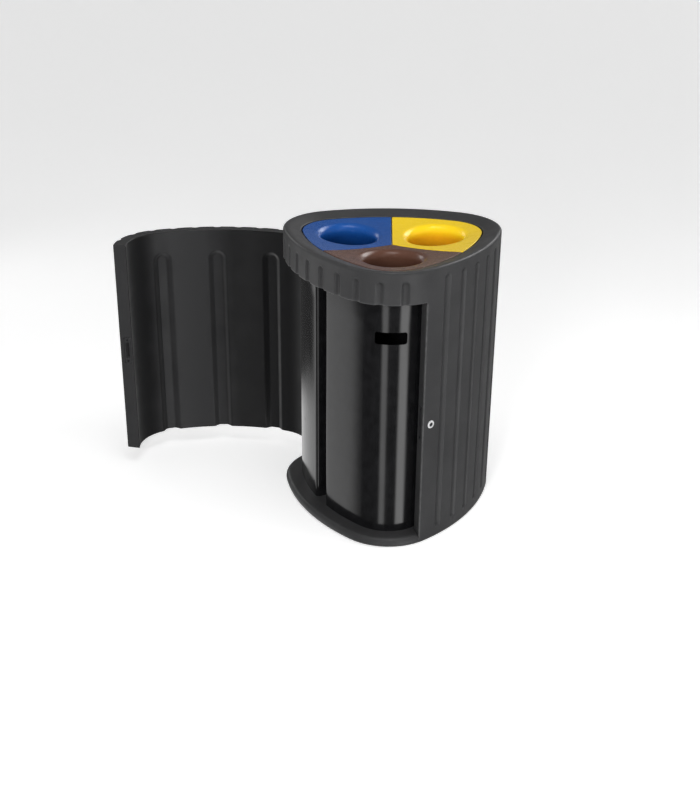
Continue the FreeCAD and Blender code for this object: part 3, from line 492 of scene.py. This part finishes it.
def lid(name, angle):
    out = unit(angle)
    hole = out * HOLE_DIST
    hole_z = float(lid_z(*hole))
    apex = sector_apex(angle, LID_HALF_GAP)

    def edge(x, y):
        return both(outline(x, y) + LID_INSET,
                    np.maximum(*flanks(x, y, angle, LID_HALF_GAP)), 3.0)

    # spokes round the hole, with three close together at each corner of the lid
    theta = np.radians(np.arange(0, 360.0, 1.5))
    corners = [apex]
    for side in (-60.0, 60.0):
        ray = unit(angle + side)
        reach = bisect(lambda r: outline(*(apex + ray * r)) + LID_INSET >= 0, 0.0, 500.0, 40)
        corners.append(apex + ray * reach)
    for corner in corners:
        a = atan2(*(corner - hole)[::-1])
        theta = np.append(theta, [a, a - 0.006, a + 0.006])
    theta = np.unique(np.round(np.mod(theta, 2 * pi), 5))
    ux, uy = np.cos(theta), np.sin(theta)
    low, high = np.full(len(theta), 100.0), np.full(len(theta), 420.0)
    rim = bisect(lambda r: edge(hole[0] + ux * r, hole[1] + uy * r) > 0, low, high, 40)
    flare_rim = THROAT_R + FLARE_R

    def leaning(r, dz):
        """Circle on the tilted throat axis, dz above the mouth."""
        return (hole[0] + ux * r + out[0] * sin(TILT) * -dz,
                hole[1] + uy * r + out[1] * sin(TILT) * -dz)

    def throat(r, z):
        return (*leaning(r, z - hole_z), np.full(len(theta), z))

    def top(r, drop=0.0):
        x, y = hole[0] + ux * r, hole[1] + uy * r
        return x, y, lid_z(x, y) - drop

    def flare(r_start, radius, drop, degree):
        r = r_start + radius * (1 - cos(rad(degree)))
        dz = -radius * (1 - sin(rad(degree))) - drop
        return (*leaning(r, dz), top(r)[2] + dz)

    # up the outside of the throat, along the underside, round the rim, over the top, down inside
    wall_r = THROAT_R + THROAT_WALL
    rings = [throat(r, z) for r, z in ((THROAT_R, THROAT_Z), (97.4, 920.0),
                                       (wall_r, hole_z - 30.0))]
    rings += [flare(wall_r, FLARE_R - THROAT_WALL, LID_THICK, a) for a in (30.0, 60.0, 90.0)]
    rings += [top(flare_rim + (rim - 1.5 - flare_rim) * f, LID_THICK) for f in (0.33, 0.66)]
    rings += [top(rim - 1.0, LID_THICK), top(rim, 3.6)]
    rings += [top(rim - LID_ROUND * (1 - cos(rad(a))), LID_ROUND * (1 - sin(rad(a))))
              for a in (0.0, 22.5, 45.0, 67.5, 90.0)]
    rings += [top(flare_rim + (rim - LID_ROUND - flare_rim) * f)
              for f in (0.96, 0.86, 0.72, 0.56, 0.4, 0.26, 0.14, 0.05)]
    rings += [flare(THROAT_R, FLARE_R, 0.0, a) for a in range(90, -1, -10)]
    rings += [throat(r, z) for r, z in (
        (94.4, hole_z - 37.0), (93.2, 920.0), (91.5, 905.0),
        (91.0, THROAT_Z + 1.0), (91.6, THROAT_Z), (94.4, THROAT_Z))]
    return loft(name, rings, sharp_angle=38.0)


LID_ANGLES = {"blue": 150.0, "yellow": 30.0, "brown": -90.0}
lids = {color: lid("lid_" + color, angle) for color, angle in LID_ANGLES.items()}

# ------------------------------------------------------------------ containers
WRAP_INSET, WRAP_HALF_GAP, WRAP_BEND = 60.0, 30.0, 14.0
# (distance inwards, z) round the wall section
WRAP_PROFILE = [
    (2.0, 36.0), (2.0, 33.4), (1.6, 33.0), (0.4, 33.0), (0.0, 33.4), (0.0, 300.0),
    (0.0, 600.0), (0.0, 700.0), (0.0, 800.0), (0.0, 881.2), (0.3, 881.8), (1.0, 882.0),
    (1.7, 881.8), (2.0, 881.2), (2.0, 800.0), (2.0, 700.0), (2.0, 600.0), (2.0, 300.0)]
SLOT_Z, SLOT_R, SLOT_X, SLOT_Y = 754.0, 8.0, 45.0, 13.0    # last two: corner arc centres


def wrap_loop(angle):
    """Closed plan loop of a container: the inset outline, two flat flanks, rounded corners."""
    def edge(x, y):
        first, second = flanks(x, y, angle, WRAP_HALF_GAP)
        return both(both(first, second, WRAP_BEND), outline(x, y) + WRAP_INSET, WRAP_BEND)

    centre = unit(angle) * 190.0
    theta = np.radians(np.arange(0, 360.0, 0.75))
    ux, uy = np.cos(theta), np.sin(theta)
    low, high = np.full(len(theta), 5.0), np.full(len(theta), 400.0)
    r = bisect(lambda r: edge(centre[0] + ux * r, centre[1] + uy * r) > 0, low, high, 44)
    x, y = centre[0] + ux * r, centre[1] + uy * r
    # respace by length and turning angle together, so that the bends keep their shape
    x_closed, y_closed = np.append(x, x[0]), np.append(y, y[0])
    dx, dy = np.diff(x_closed), np.diff(y_closed)
    heading = np.unwrap(np.arctan2(dy, dx))
    turn = np.abs(np.diff(np.append(heading, heading[0] + 2 * pi)))
    travel = np.concatenate([[0], np.cumsum(np.hypot(dx, dy) / 9.0 + turn / rad(3.0))])
    stops = np.linspace(0, travel[-1], 260, endpoint=False)
    return np.interp(stops, travel, x_closed), np.interp(stops, travel, y_closed)


def slot_tool(angle):
    """Rounded bar that cuts the hand slot through the outer wall."""
    out, side = unit(angle), unit(angle + 90.0)
    section = []
    for cx, cz, start in ((SLOT_X, SLOT_Y, 0), (-SLOT_X, SLOT_Y, 90),
                          (-SLOT_X, -SLOT_Y, 180), (SLOT_X, -SLOT_Y, 270)):
        for step in range(7):
            a = rad(start + 15 * step)
            section.append((cx + SLOT_R * cos(a), cz + SLOT_R * sin(a)))
    verts = []
    for distance in (250.0, 420.0):
        for across, up in section:
            p = out * distance + side * across
            verts.append((p[0] / 1000, p[1] / 1000, (SLOT_Z + up) / 1000))
    m = len(section)
    faces = [tuple(range(m))[::-1], tuple(range(m, 2 * m))]
    faces += [(i, (i + 1) % m, m + (i + 1) % m, m + i) for i in range(m)]
    mesh = bpy.data.meshes.new("slot_tool")
    mesh.from_pydata(verts, [], faces)
    return add_object("slot_tool", mesh)


def wrap(name, angle):
    x, y = wrap_loop(angle)
    tx, ty = np.roll(x, -1) - np.roll(x, 1), np.roll(y, -1) - np.roll(y, 1)
    length = np.hypot(tx, ty)
    in_x, in_y = -ty / length, tx / length
    rings = [(x + in_x * inwards, y + in_y * inwards, np.full(len(x), z))
             for inwards, z in WRAP_PROFILE]
    obj = loft(name, rings, sharp_angle=35.0)
    tool = slot_tool(angle)
    cut = obj.modifiers.new("slot", "BOOLEAN")
    cut.object = tool
    cut.operation = "DIFFERENCE"
    cut.solver = "EXACT"
    depsgraph = bpy.context.evaluated_depsgraph_get()
    mesh = bpy.data.meshes.new_from_object(obj.evaluated_get(depsgraph))
    obj.modifiers.clear()
    obj.data = mesh
    mesh.set_sharp_from_angle(angle=rad(35.0))
    bpy.data.objects.remove(tool)
    return obj


WRAP_ANGLES = {"left": 150.0, "right": 30.0, "front": -90.0}
wraps = {side: wrap("wrap_" + side, angle) for side, angle in WRAP_ANGLES.items()}


# ------------------------------------------------------------------ shader graphs
class Graph:
    """Short ways to add nodes; an input takes either a value or a socket."""

    def __init__(self, tree):
        self.tree = tree
        tree.nodes.clear()

    def add(self, kind, **settings):
        node = self.tree.nodes.new(kind)
        for key, value in settings.items():
            setattr(node, key, value)
        return node

    def link(self, source, target):
        self.tree.links.new(source, target)

    def feed(self, target, value):
        if isinstance(value, bpy.types.NodeSocket):
            self.link(value, target)
        else:
            target.default_value = value

    def calc(self, operation, a, b):
        node = self.add("ShaderNodeMath", operation=operation)
        self.feed(node.inputs[0], a)
        self.feed(node.inputs[1], b)
        return node.outputs[0]

    def vector(self, operation, *values):
        node = self.add("ShaderNodeVectorMath", operation=operation)
        for i, value in enumerate(values):
            self.feed(node.inputs[i], value)
        return node.outputs["Value" if operation == "DOT_PRODUCT" else "Vector"]

    def split(self, source):
        node = self.add("ShaderNodeSeparateXYZ")
        self.link(source, node.inputs[0])
        return node.outputs

    def remap(self, source, between, to=(0.0, 1.0), smooth=False):
        node = self.add("ShaderNodeMapRange")
        if smooth:
            node.interpolation_type = "SMOOTHSTEP"
        names = ("From Min", "From Max", "To Min", "To Max")
        for key, value in zip(names, (*between, *to)):
            node.inputs[key].default_value = value
        self.link(source, node.inputs["Value"])
        return node.outputs[0]


class Surface(Graph):
    """A new material with one Principled shader."""

    def __init__(self, name):
        self.material = bpy.data.materials.new(name)
        self.material.use_nodes = True
        super().__init__(self.material.node_tree)
        output = self.add("ShaderNodeOutputMaterial")
        shader = self.add("ShaderNodeBsdfPrincipled")
        self.link(shader.outputs[0], output.inputs["Surface"])
        self.inputs = shader.inputs
        self.position = self.add("ShaderNodeTexCoord").outputs["Object"]

    def set(self, key, value):
        self.feed(self.inputs[key], value)

    def noise(self, scale, detail, roughness=0.55, stretch=None, seed=0.0):
        node = self.add("ShaderNodeTexNoise")
        node.inputs["Scale"].default_value = scale
        node.inputs["Detail"].default_value = detail
        node.inputs["Roughness"].default_value = roughness
        mapping = self.add("ShaderNodeMapping")
        mapping.inputs["Location"].default_value = (seed, seed * 0.7, seed * 1.3)
        if stretch:
            mapping.inputs["Scale"].default_value = stretch
        self.link(self.position, mapping.inputs["Vector"])
        self.link(mapping.outputs[0], node.inputs["Vector"])
        return node.outputs["Fac"]

    def pointiness(self, between):
        geometry = self.add("ShaderNodeNewGeometry")
        return self.remap(geometry.outputs["Pointiness"], between)

    def mix(self, factor, a, b):
        node = self.add("ShaderNodeMix", data_type="RGBA")
        for i, value in ((0, factor), (6, a), (7, b)):
            self.feed(node.inputs[i], (*value, 1.0) if isinstance(value, tuple) else value)
        return node.outputs[2]

    def bump(self, height, distance, under=None):
        node = self.add("ShaderNodeBump")
        node.inputs["Distance"].default_value = distance
        node.inputs["Strength"].default_value = 1.0
        self.link(height, node.inputs["Height"])
        if under is not None:
            self.link(under, node.inputs["Normal"])
        return node.outputs[0]


# ------------------------------------------------------------------ materials, metres
def scaled(color, factor, lift=0.0):
    return tuple(v * factor + lift for v in color)


def plastic(name, color, cloud, roughness, specular=0.5, grain=0.00006, wave=0.0006,
            specks=0.16, vary=1.0, edge_wear_and_highlight=0.0, wear_and_highlight_color=None, crease_shade=0.0, inner_shade=None, throat_shade=None):
    """Moulded plastic: clouded color, fine specks, and grain over a slow wave.

    edge_wear_and_highlight lightens sharp edges, as scuffing plus a painted highlight;
    crease_shade darkens creases with painted shade and some grime; vary scales the roughness
    patches;
    inner_shade paints shade on the face towards a plan centre; throat_shade paints shade, with a
    painted bounce-light tint, into the low parts of a lid.
    """
    g = Surface(name)
    clouds = g.remap(g.noise(scale=5.0, detail=5.0), between=(0.35, 0.65))
    base = g.mix(clouds, color, cloud)
    fine = g.remap(g.noise(scale=900.0, detail=2.0, seed=3.0), between=(0.3, 0.7))
    base = g.mix(g.calc("MULTIPLY", fine, 0.18), base, scaled(cloud, 1.6))
    speck = g.remap(g.noise(scale=230.0, detail=3.0, roughness=0.6, seed=11.0),
                    between=(0.36, 0.64))
    base = g.mix(g.calc("MULTIPLY", speck, specks), base, scaled(color, 0.45))
    # painted shade: darkens creases and groove bottoms, with some grime
    if crease_shade:
        crease_shade_mask = g.pointiness(between=(0.497, 0.470))
        base = g.mix(g.calc("MULTIPLY", crease_shade_mask, crease_shade), base, scaled(color, 0.25))
    # scuffing plus a painted highlight: lightens sharp edges in noisy patches
    if edge_wear_and_highlight:
        edge = g.pointiness(between=(0.515, 0.56))
        patch = g.remap(g.noise(scale=60.0, detail=4.0, seed=9.0),
                        between=(0.38, 0.62), to=(0.25, 1.0))
        rubbed_and_lit_edges = g.calc("MULTIPLY", g.calc("MULTIPLY", edge, patch), edge_wear_and_highlight)
        base = g.mix(rubbed_and_lit_edges, base, wear_and_highlight_color)
    # painted shade on the door's inner face, darker towards its ends
    if inner_shade:
        base = paint_inner_shade(g, base, **inner_shade)
    # painted shade down the lid throat, and for yellow a painted orange bounce light
    if throat_shade:
        throat_shade_mask = g.remap(g.split(g.position)["Z"], between=(0.962, 0.935))
        base = g.mix(throat_shade_mask, base, throat_shade)
    g.set("Base Color", base)
    patches = g.remap(g.noise(scale=14.0, detail=5.0, seed=5.0), between=(0.3, 0.7),
                      to=(roughness - 0.05 * vary, roughness + 0.06 * vary))
    g.set("Roughness", g.calc("ADD", patches, g.remap(fine, (0.0, 1.0), to=(-0.02, 0.03))))
    g.set("Specular IOR Level", specular)
    normal = g.bump(g.noise(scale=7.0, detail=2.0, seed=1.0), wave)
    grain_noise = g.noise(scale=1400.0, detail=2.0, roughness=0.6, seed=2.0)
    g.set("Normal", g.bump(grain_noise, grain, under=normal))
    return g.material


def paint_inner_shade(g, base, centre, middle_x, half_width, middle_shade_color, end_shade_color):
    """Paint shade on the side that faces the plan centre, with darker painted shade towards its
    two ends.
    """
    normal = g.add("ShaderNodeTexCoord").outputs["Normal"]
    flat = g.vector("MULTIPLY", g.position, (1.0, 1.0, 0.0))
    inwards = g.vector("NORMALIZE", g.vector("SUBTRACT", (*centre, 0.0), flat))
    facing = g.vector("DOT_PRODUCT", normal, inwards)
    inside = g.remap(facing, between=(-0.1, 0.5))
    base = g.mix(inside, base, middle_shade_color)
    x = g.split(g.position)["X"]
    away = g.calc("ABSOLUTE", g.calc("SUBTRACT", x, middle_x), 0.0)
    ragged = g.remap(g.noise(scale=6.0, detail=3.0, seed=21.0),
                     between=(0.3, 0.7), to=(-0.02, 0.02))
    away = g.calc("ADD", away, ragged)
    shaded_ends = g.remap(away, between=(half_width, half_width + 0.11))
    return g.mix(g.calc("MULTIPLY", inside, shaded_ends), base, end_shade_color)


def gloss(name, color):
    """Polished sheet with faint upright smears."""
    g = Surface(name)
    clouds = g.noise(scale=30.0, detail=6.0, roughness=0.6, seed=4.0)
    g.set("Base Color", g.mix(g.remap(clouds, between=(0.4, 0.6)), color,
                              scaled(color, 1.5, lift=0.001)))
    smear = g.noise(scale=9.0, detail=6.0, roughness=0.65, stretch=(1.0, 1.0, 0.22), seed=8.0)
    g.set("Roughness", g.remap(smear, between=(0.35, 0.7), to=(0.10, 0.2)))
    g.set("Specular IOR Level", 0.5)
    wave = g.noise(scale=3.0, detail=2.0, stretch=(1.0, 1.0, 0.25), seed=6.0)
    normal = g.bump(wave, distance=0.0004)
    fine = g.noise(scale=160.0, detail=2.0, seed=7.0)
    g.set("Normal", g.bump(fine, distance=0.000004, under=normal))
    return g.material


def metal(name, color, roughness, spots=0.15, metallic=1.0):
    """Finely brushed metal; spots is the strength of the dark tarnish."""
    g = Surface(name)
    grain = g.noise(scale=700.0, detail=3.0, roughness=0.6, stretch=(1.0, 1.0, 30.0), seed=1.0)
    tarnish = g.remap(g.noise(scale=40.0, detail=5.0, seed=2.0), between=(0.4, 0.68))
    g.set("Base Color", g.mix(g.calc("MULTIPLY", tarnish, spots), color, scaled(color, 0.45)))
    g.set("Metallic", metallic)
    g.set("Roughness", g.remap(grain, between=(0.3, 0.7),
                               to=(roughness - 0.06, roughness + 0.1)))
    g.set("Normal", g.bump(grain, distance=0.00002))
    return g.material


# the plan centre as the open door carries it round the hinge
c, s = cos(-rad(DOOR_OPEN)), sin(-rad(DOOR_OPEN))
DOOR_CENTRE = ((HINGE[0] - HINGE[0] * c + HINGE[1] * s) / 1000.0,
               (HINGE[1] - HINGE[0] * s - HINGE[1] * c) / 1000.0)
ANTHRACITE = dict(color=(0.031, 0.031, 0.032), cloud=(0.040, 0.040, 0.041))
LID_FINISH = dict(roughness=0.27, specular=0.33, wave=0.0001, vary=0.3)
MATERIALS = {
    # body and door: the lighter edges are scuffing plus a painted highlight, the darker creases
    # are painted shade with some grime
    "body_plastic": plastic("anthracite_plastic", **ANTHRACITE, roughness=0.44, specular=0.27,
                            edge_wear_and_highlight=0.5, wear_and_highlight_color=(0.13, 0.13, 0.132), crease_shade=0.6),
    "door_plastic": plastic("door_plastic", **ANTHRACITE, roughness=0.46, specular=0.22,
                            edge_wear_and_highlight=0.35, wear_and_highlight_color=(0.10, 0.10, 0.102), crease_shade=0.5,
                            # painted shade on the open door's inner face
                            inner_shade=dict(centre=DOOR_CENTRE, middle_x=-0.76, half_width=0.06,
                                       middle_shade_color=(0.027, 0.027, 0.028),
                                       end_shade_color=(0.0085, 0.0085, 0.009))),
    # the lid throat colors are painted shade, and for yellow painted bounce light
    "blue_plastic": plastic("blue_plastic", (0.008, 0.071, 0.295), (0.0095, 0.078, 0.315),
                            specks=0.05, throat_shade=(0.006, 0.050, 0.215), **LID_FINISH),
    "yellow_plastic": plastic("yellow_plastic", (0.96, 0.65, 0.010), (0.97, 0.67, 0.013),
                              specks=0.03, throat_shade=(0.98, 0.47, 0.012), **LID_FINISH),
    "brown_plastic": plastic("brown_plastic", (0.098, 0.043, 0.028), (0.110, 0.050, 0.033),
                             specks=0.05, **LID_FINISH),
    "container_gloss": gloss("black_gloss", (0.0045, 0.0045, 0.005)),
    "lock_metal": metal("lock_chrome", (0.80, 0.80, 0.81), roughness=0.28, metallic=0.45),
    # the dark plug face is painted shade standing in for the shaded keyway
    "lock_plug": metal("lock_plug_painted_shade", (0.09, 0.09, 0.10), roughness=0.38),
    "plate_metal": metal("black_steel", (0.036, 0.036, 0.038), roughness=0.5, metallic=0.35),
    "pin_steel": metal("pin_steel", (0.55, 0.56, 0.58), roughness=0.3),
    "bracket_metal": metal("zinc_bracket", (0.5, 0.51, 0.53), roughness=0.42, spots=0.35),
    "fastener_steel": metal("dark_fastener", (0.28, 0.28, 0.30), roughness=0.34),
    "black_fastener": metal("black_fastener", (0.012, 0.012, 0.013), roughness=0.45,
                            metallic=0.5),
    "bush_plastic": plastic("bush_plastic", (0.55, 0.55, 0.52), (0.62, 0.62, 0.58),
                            roughness=0.45, grain=0.00002),
}
# CAD pieces of each material; every other piece is container_gloss
PIECES = {
    "body_plastic": "body_moulding door_moulding body_vent_plug door_vent_plug",
    "pin_steel": "lower_pivot_pin upper_pivot_pin",
    "bush_plastic": "thrust_washer lower_door_bush upper_door_bush",
    "fastener_steel": "pivot_flange_screws cam_screw inlet_screws spider_screws hub_screws",
    "lock_metal": "lock_housing lock_nut lock_cam",
    "lock_plug": "lock_plug",
    "plate_metal": "jamb_plate door_keeper",
    "black_fastener": "jamb_plate_screws keeper_screws",
    "blue_plastic": "inlet_blue",
    "yellow_plastic": "inlet_yellow",
    "brown_plastic": "inlet_brown",
    "bracket_metal": "inlet_spider anchor_sleeves",
}
PIECE_MATERIAL = {piece: key for key, names in PIECES.items() for piece in names.split()}


def dress(obj, key):
    obj.data.materials.clear()
    obj.data.materials.append(MATERIALS[key])
    obj.data.polygons.foreach_set("material_index", np.zeros(len(obj.data.polygons), np.int32))


def install(obj, piece, part, key):
    """Dress a detailed mesh and put it in place of a CAD piece."""
    dress(obj, key)
    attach(obj, part)
    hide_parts(piece)


for piece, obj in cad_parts.items():
    dress(obj, PIECE_MATERIAL.get(piece, "container_gloss"))
    obj.data.polygons.foreach_set("use_smooth", np.ones(len(obj.data.polygons), bool))
    obj.data.set_sharp_from_angle(angle=rad(32.0))
    bevel = obj.modifiers.new("soft_edges", "BEVEL")
    bevel.width = 0.0003
    bevel.segments = 2
    bevel.limit_method = "ANGLE"
    bevel.angle_limit = rad(40.0)

install(body, "body_moulding", "body", "body_plastic")
install(door, "door_moulding", "door", "door_plastic")
for color, obj in lids.items():
    install(obj, "inlet_" + color, "body", color + "_plastic")
for side, obj in wraps.items():
    install(obj, f"container_{side}_wrap", "container_" + side, "container_gloss")

door.visible_glossy = False   # so that the glossy containers mirror only the studio


# ------------------------------------------------------------------ floor
def add_floor():
    mesh = bpy.data.meshes.new("floor")
    mesh.from_pydata([(-30, -30, 0), (30, -30, 0), (30, 30, 0), (-30, 30, 0)], [], [(0, 1, 2, 3)])
    floor = add_object("floor", mesh)
    g = Surface("pale_floor")
    clouds = g.remap(g.noise(scale=1.5, detail=4.0), between=(0.3, 0.7))
    g.set("Base Color", g.mix(clouds, (0.86, 0.86, 0.86), (0.89, 0.89, 0.89)))
    g.set("Roughness", g.remap(g.noise(scale=40.0, detail=3.0), between=(0.3, 0.7),
                               to=(0.7, 0.8)))
    g.set("Specular IOR Level", 0.2)
    # glow that only the camera sees
    g.set("Emission Color", (1.0, 1.0, 1.0, 1.0))
    seen = g.add("ShaderNodeLightPath").outputs["Is Camera Ray"]
    g.set("Emission Strength", g.calc("MULTIPLY", seen, 0.42))
    mesh.materials.append(g.material)
    floor.visible_glossy = False


add_floor()

# ------------------------------------------------------------------ world
# (azimuth, brightness) of the upright stripes seen in reflections
STRIPES = [
    (-180, 1.06), (-177, 0.78), (-173, 0.26), (-169, 0.085), (-116, 0.085), (-110, 2.1),
    (-100, 2.0), (-95, 0.16), (-68, 0.10), (-62, 3.25), (-44, 3.25), (-38, 0.16),
    (-20, 0.18), (30, 0.25), (75, 0.35), (100, 0.7), (112, 1.0), (135, 1.05),
    (158, 0.98), (174, 1.15), (179.5, 1.08)]
STRIPE_SCALE = 4.0   # keeps the ramp colors below 1
# (azimuth, elevation, half width, brightness) of the soft lamps seen in reflections
SOFT_LAMPS = [(48.0, 33.0, 21.0, 6.5), (-85.0, 72.0, 15.0, 6.0),
              (127.0, 20.0, 12.0, 3.0), (-58.0, 42.0, 14.0, 1.2)]


def reflected_studio(g, direction, axes):
    """Brightness of the surroundings for glossy rays."""
    azimuth = g.calc("ARCTAN2", axes["Y"], axes["X"])
    ramp = g.add("ShaderNodeValToRGB")
    g.link(g.remap(azimuth, between=(-pi, pi)), ramp.inputs["Fac"])
    elements = ramp.color_ramp.elements
    while len(elements) > 1:
        elements.remove(elements[-1])
    for i, (angle, value) in enumerate(STRIPES):
        position = (angle + 180.0) / 360.0
        element = elements[0] if i == 0 else elements.new(position)
        element.position = position
        element.color = (*[value / STRIPE_SCALE] * 3, 1.0)
    # between about 93 and 139 degrees the stripes only show well below the horizon
    low_band = g.remap(axes["Z"], between=(-0.425, -0.385), to=(1.0, 0.0), smooth=True)
    beyond = g.remap(azimuth, between=(rad(136.0), rad(142.0)), smooth=True)
    gate = g.calc("MAXIMUM", low_band, beyond)
    gate = g.calc("MAXIMUM", gate, g.remap(azimuth, between=(rad(88.0), rad(98.0)),
                                           to=(1.0, 0.06), smooth=True))
    stripes = g.calc("MULTIPLY", g.calc("MULTIPLY", ramp.outputs["Color"], STRIPE_SCALE), gate)
    # an even sky above the horizon
    sky = g.add("ShaderNodeMix", data_type="FLOAT")
    g.link(g.remap(axes["Z"], between=(-0.05, 0.30), smooth=True), sky.inputs[0])
    g.link(stripes, sky.inputs[2])
    sky.inputs[3].default_value = 0.19
    total = sky.outputs[0]
    for az, el, width, power in SOFT_LAMPS:
        towards = (cos(rad(el)) * cos(rad(az)), cos(rad(el)) * sin(rad(az)), sin(rad(el)))
        lamp = g.remap(g.vector("DOT_PRODUCT", direction, towards),
                       between=(cos(rad(width)), cos(rad(width * 0.55))),
                       to=(0.0, power), smooth=True)
        total = g.calc("ADD", total, lamp)
    return total


def build_world():
    """Separate surroundings for glossy rays, for the camera, and for all other rays."""
    world = bpy.data.worlds.new("studio")
    bpy.context.scene.world = world
    world.use_nodes = True
    g = Graph(world.node_tree)
    output = g.add("ShaderNodeOutputWorld")
    rays = g.add("ShaderNodeLightPath").outputs
    direction = g.add("ShaderNodeTexCoord").outputs["Generated"]
    axes = g.split(direction)

    def background(grey, strength=1.0):
        node = g.add("ShaderNodeBackground")
        node.inputs["Color"].default_value = (grey, grey, grey, 1.0)
        g.feed(node.inputs["Strength"], strength)
        return node.outputs[0]

    glossy = background(1.0, reflected_studio(g, direction, axes))
    by_height = g.remap(axes["Z"], between=(-0.1, 1.0), to=(0.85, 0.3), smooth=True)
    by_side = g.remap(axes["X"], between=(-1.0, 1.0), to=(0.5, 1.2), smooth=True)
    result = background(1.0, g.calc("MULTIPLY", by_height, by_side))
    backdrop = background(0.84)
    for ray, shader in (("Is Glossy Ray", glossy), ("Is Camera Ray", backdrop)):
        mix = g.add("ShaderNodeMixShader")
        g.link(rays[ray], mix.inputs[0])
        g.link(result, mix.inputs[1])
        g.link(shader, mix.inputs[2])
        result = mix.outputs[0]
    g.link(result, output.inputs["Surface"])


build_world()

# ------------------------------------------------------------------ lights
# name, place, target, size, watts
AREA_LIGHTS = [
    ("overhead", (-0.3, -0.4, 3.6), (0, 0, 0.6), (1.8, 1.8), 27.0),
    ("left_back", (-2.8, 2.4, 1.5), (0, 0, 0.8), (1.2, 1.6), 6.0),
    ("left_front", (-2.8, -2.6, 1.0), (-0.2, 0, 0.5), (1.4, 1.6), 3.0),
    ("front_key", (-0.75, -3.45, 1.7), (0.1, 0, 0.5), (0.7, 0.9), 76.0),
    ("right_side", (3.4, -0.35, 0.95), (0, 0, 0.5), (1.0, 1.7), 56.0),
]
for name, place, target, size, watts in AREA_LIGHTS:
    light = bpy.data.lights.new(name, "AREA")
    light.shape = "RECTANGLE"
    light.size, light.size_y = size
    light.energy = watts
    obj = add_object(name, light)
    obj.location = place
    obj.rotation_mode = "QUATERNION"
    obj.rotation_quaternion = (Vector(place) - Vector(target)).to_track_quat("Z", "Y")
    obj.visible_glossy = False

# ------------------------------------------------------------------ camera
CAMERA_PLACE = Vector((-0.0594, -4.1324, 2.2506))
CAMERA_AIM = Vector((-0.04829, 0.90171, -0.42965)).normalized()
CAMERA_ROLL = 0.0046   # radians


def add_camera():
    data = bpy.data.cameras.new("photo_camera")
    camera = add_object("photo_camera", data)
    level = CAMERA_AIM.cross(Vector((0, 0, 1))).normalized()
    upright = level.cross(CAMERA_AIM).normalized()
    right = level * cos(CAMERA_ROLL) - upright * sin(CAMERA_ROLL)
    up = upright * cos(CAMERA_ROLL) + level * sin(CAMERA_ROLL)
    rotation = Matrix((right, up, -CAMERA_AIM)).transposed()
    camera.matrix_world = Matrix.Translation(CAMERA_PLACE) @ rotation.to_4x4()
    data.sensor_width = 36.0
    data.sensor_fit = "AUTO"
    data.lens = 56.12
    data.shift_x, data.shift_y = 0.0487, 0.0283
    data.clip_start, data.clip_end = 0.05, 200.0
    bpy.context.scene.camera = camera


add_camera()
view = bpy.context.scene.view_settings
view.view_transform = "Standard"
view.look = "None"

bpy.context.view_layer.update()
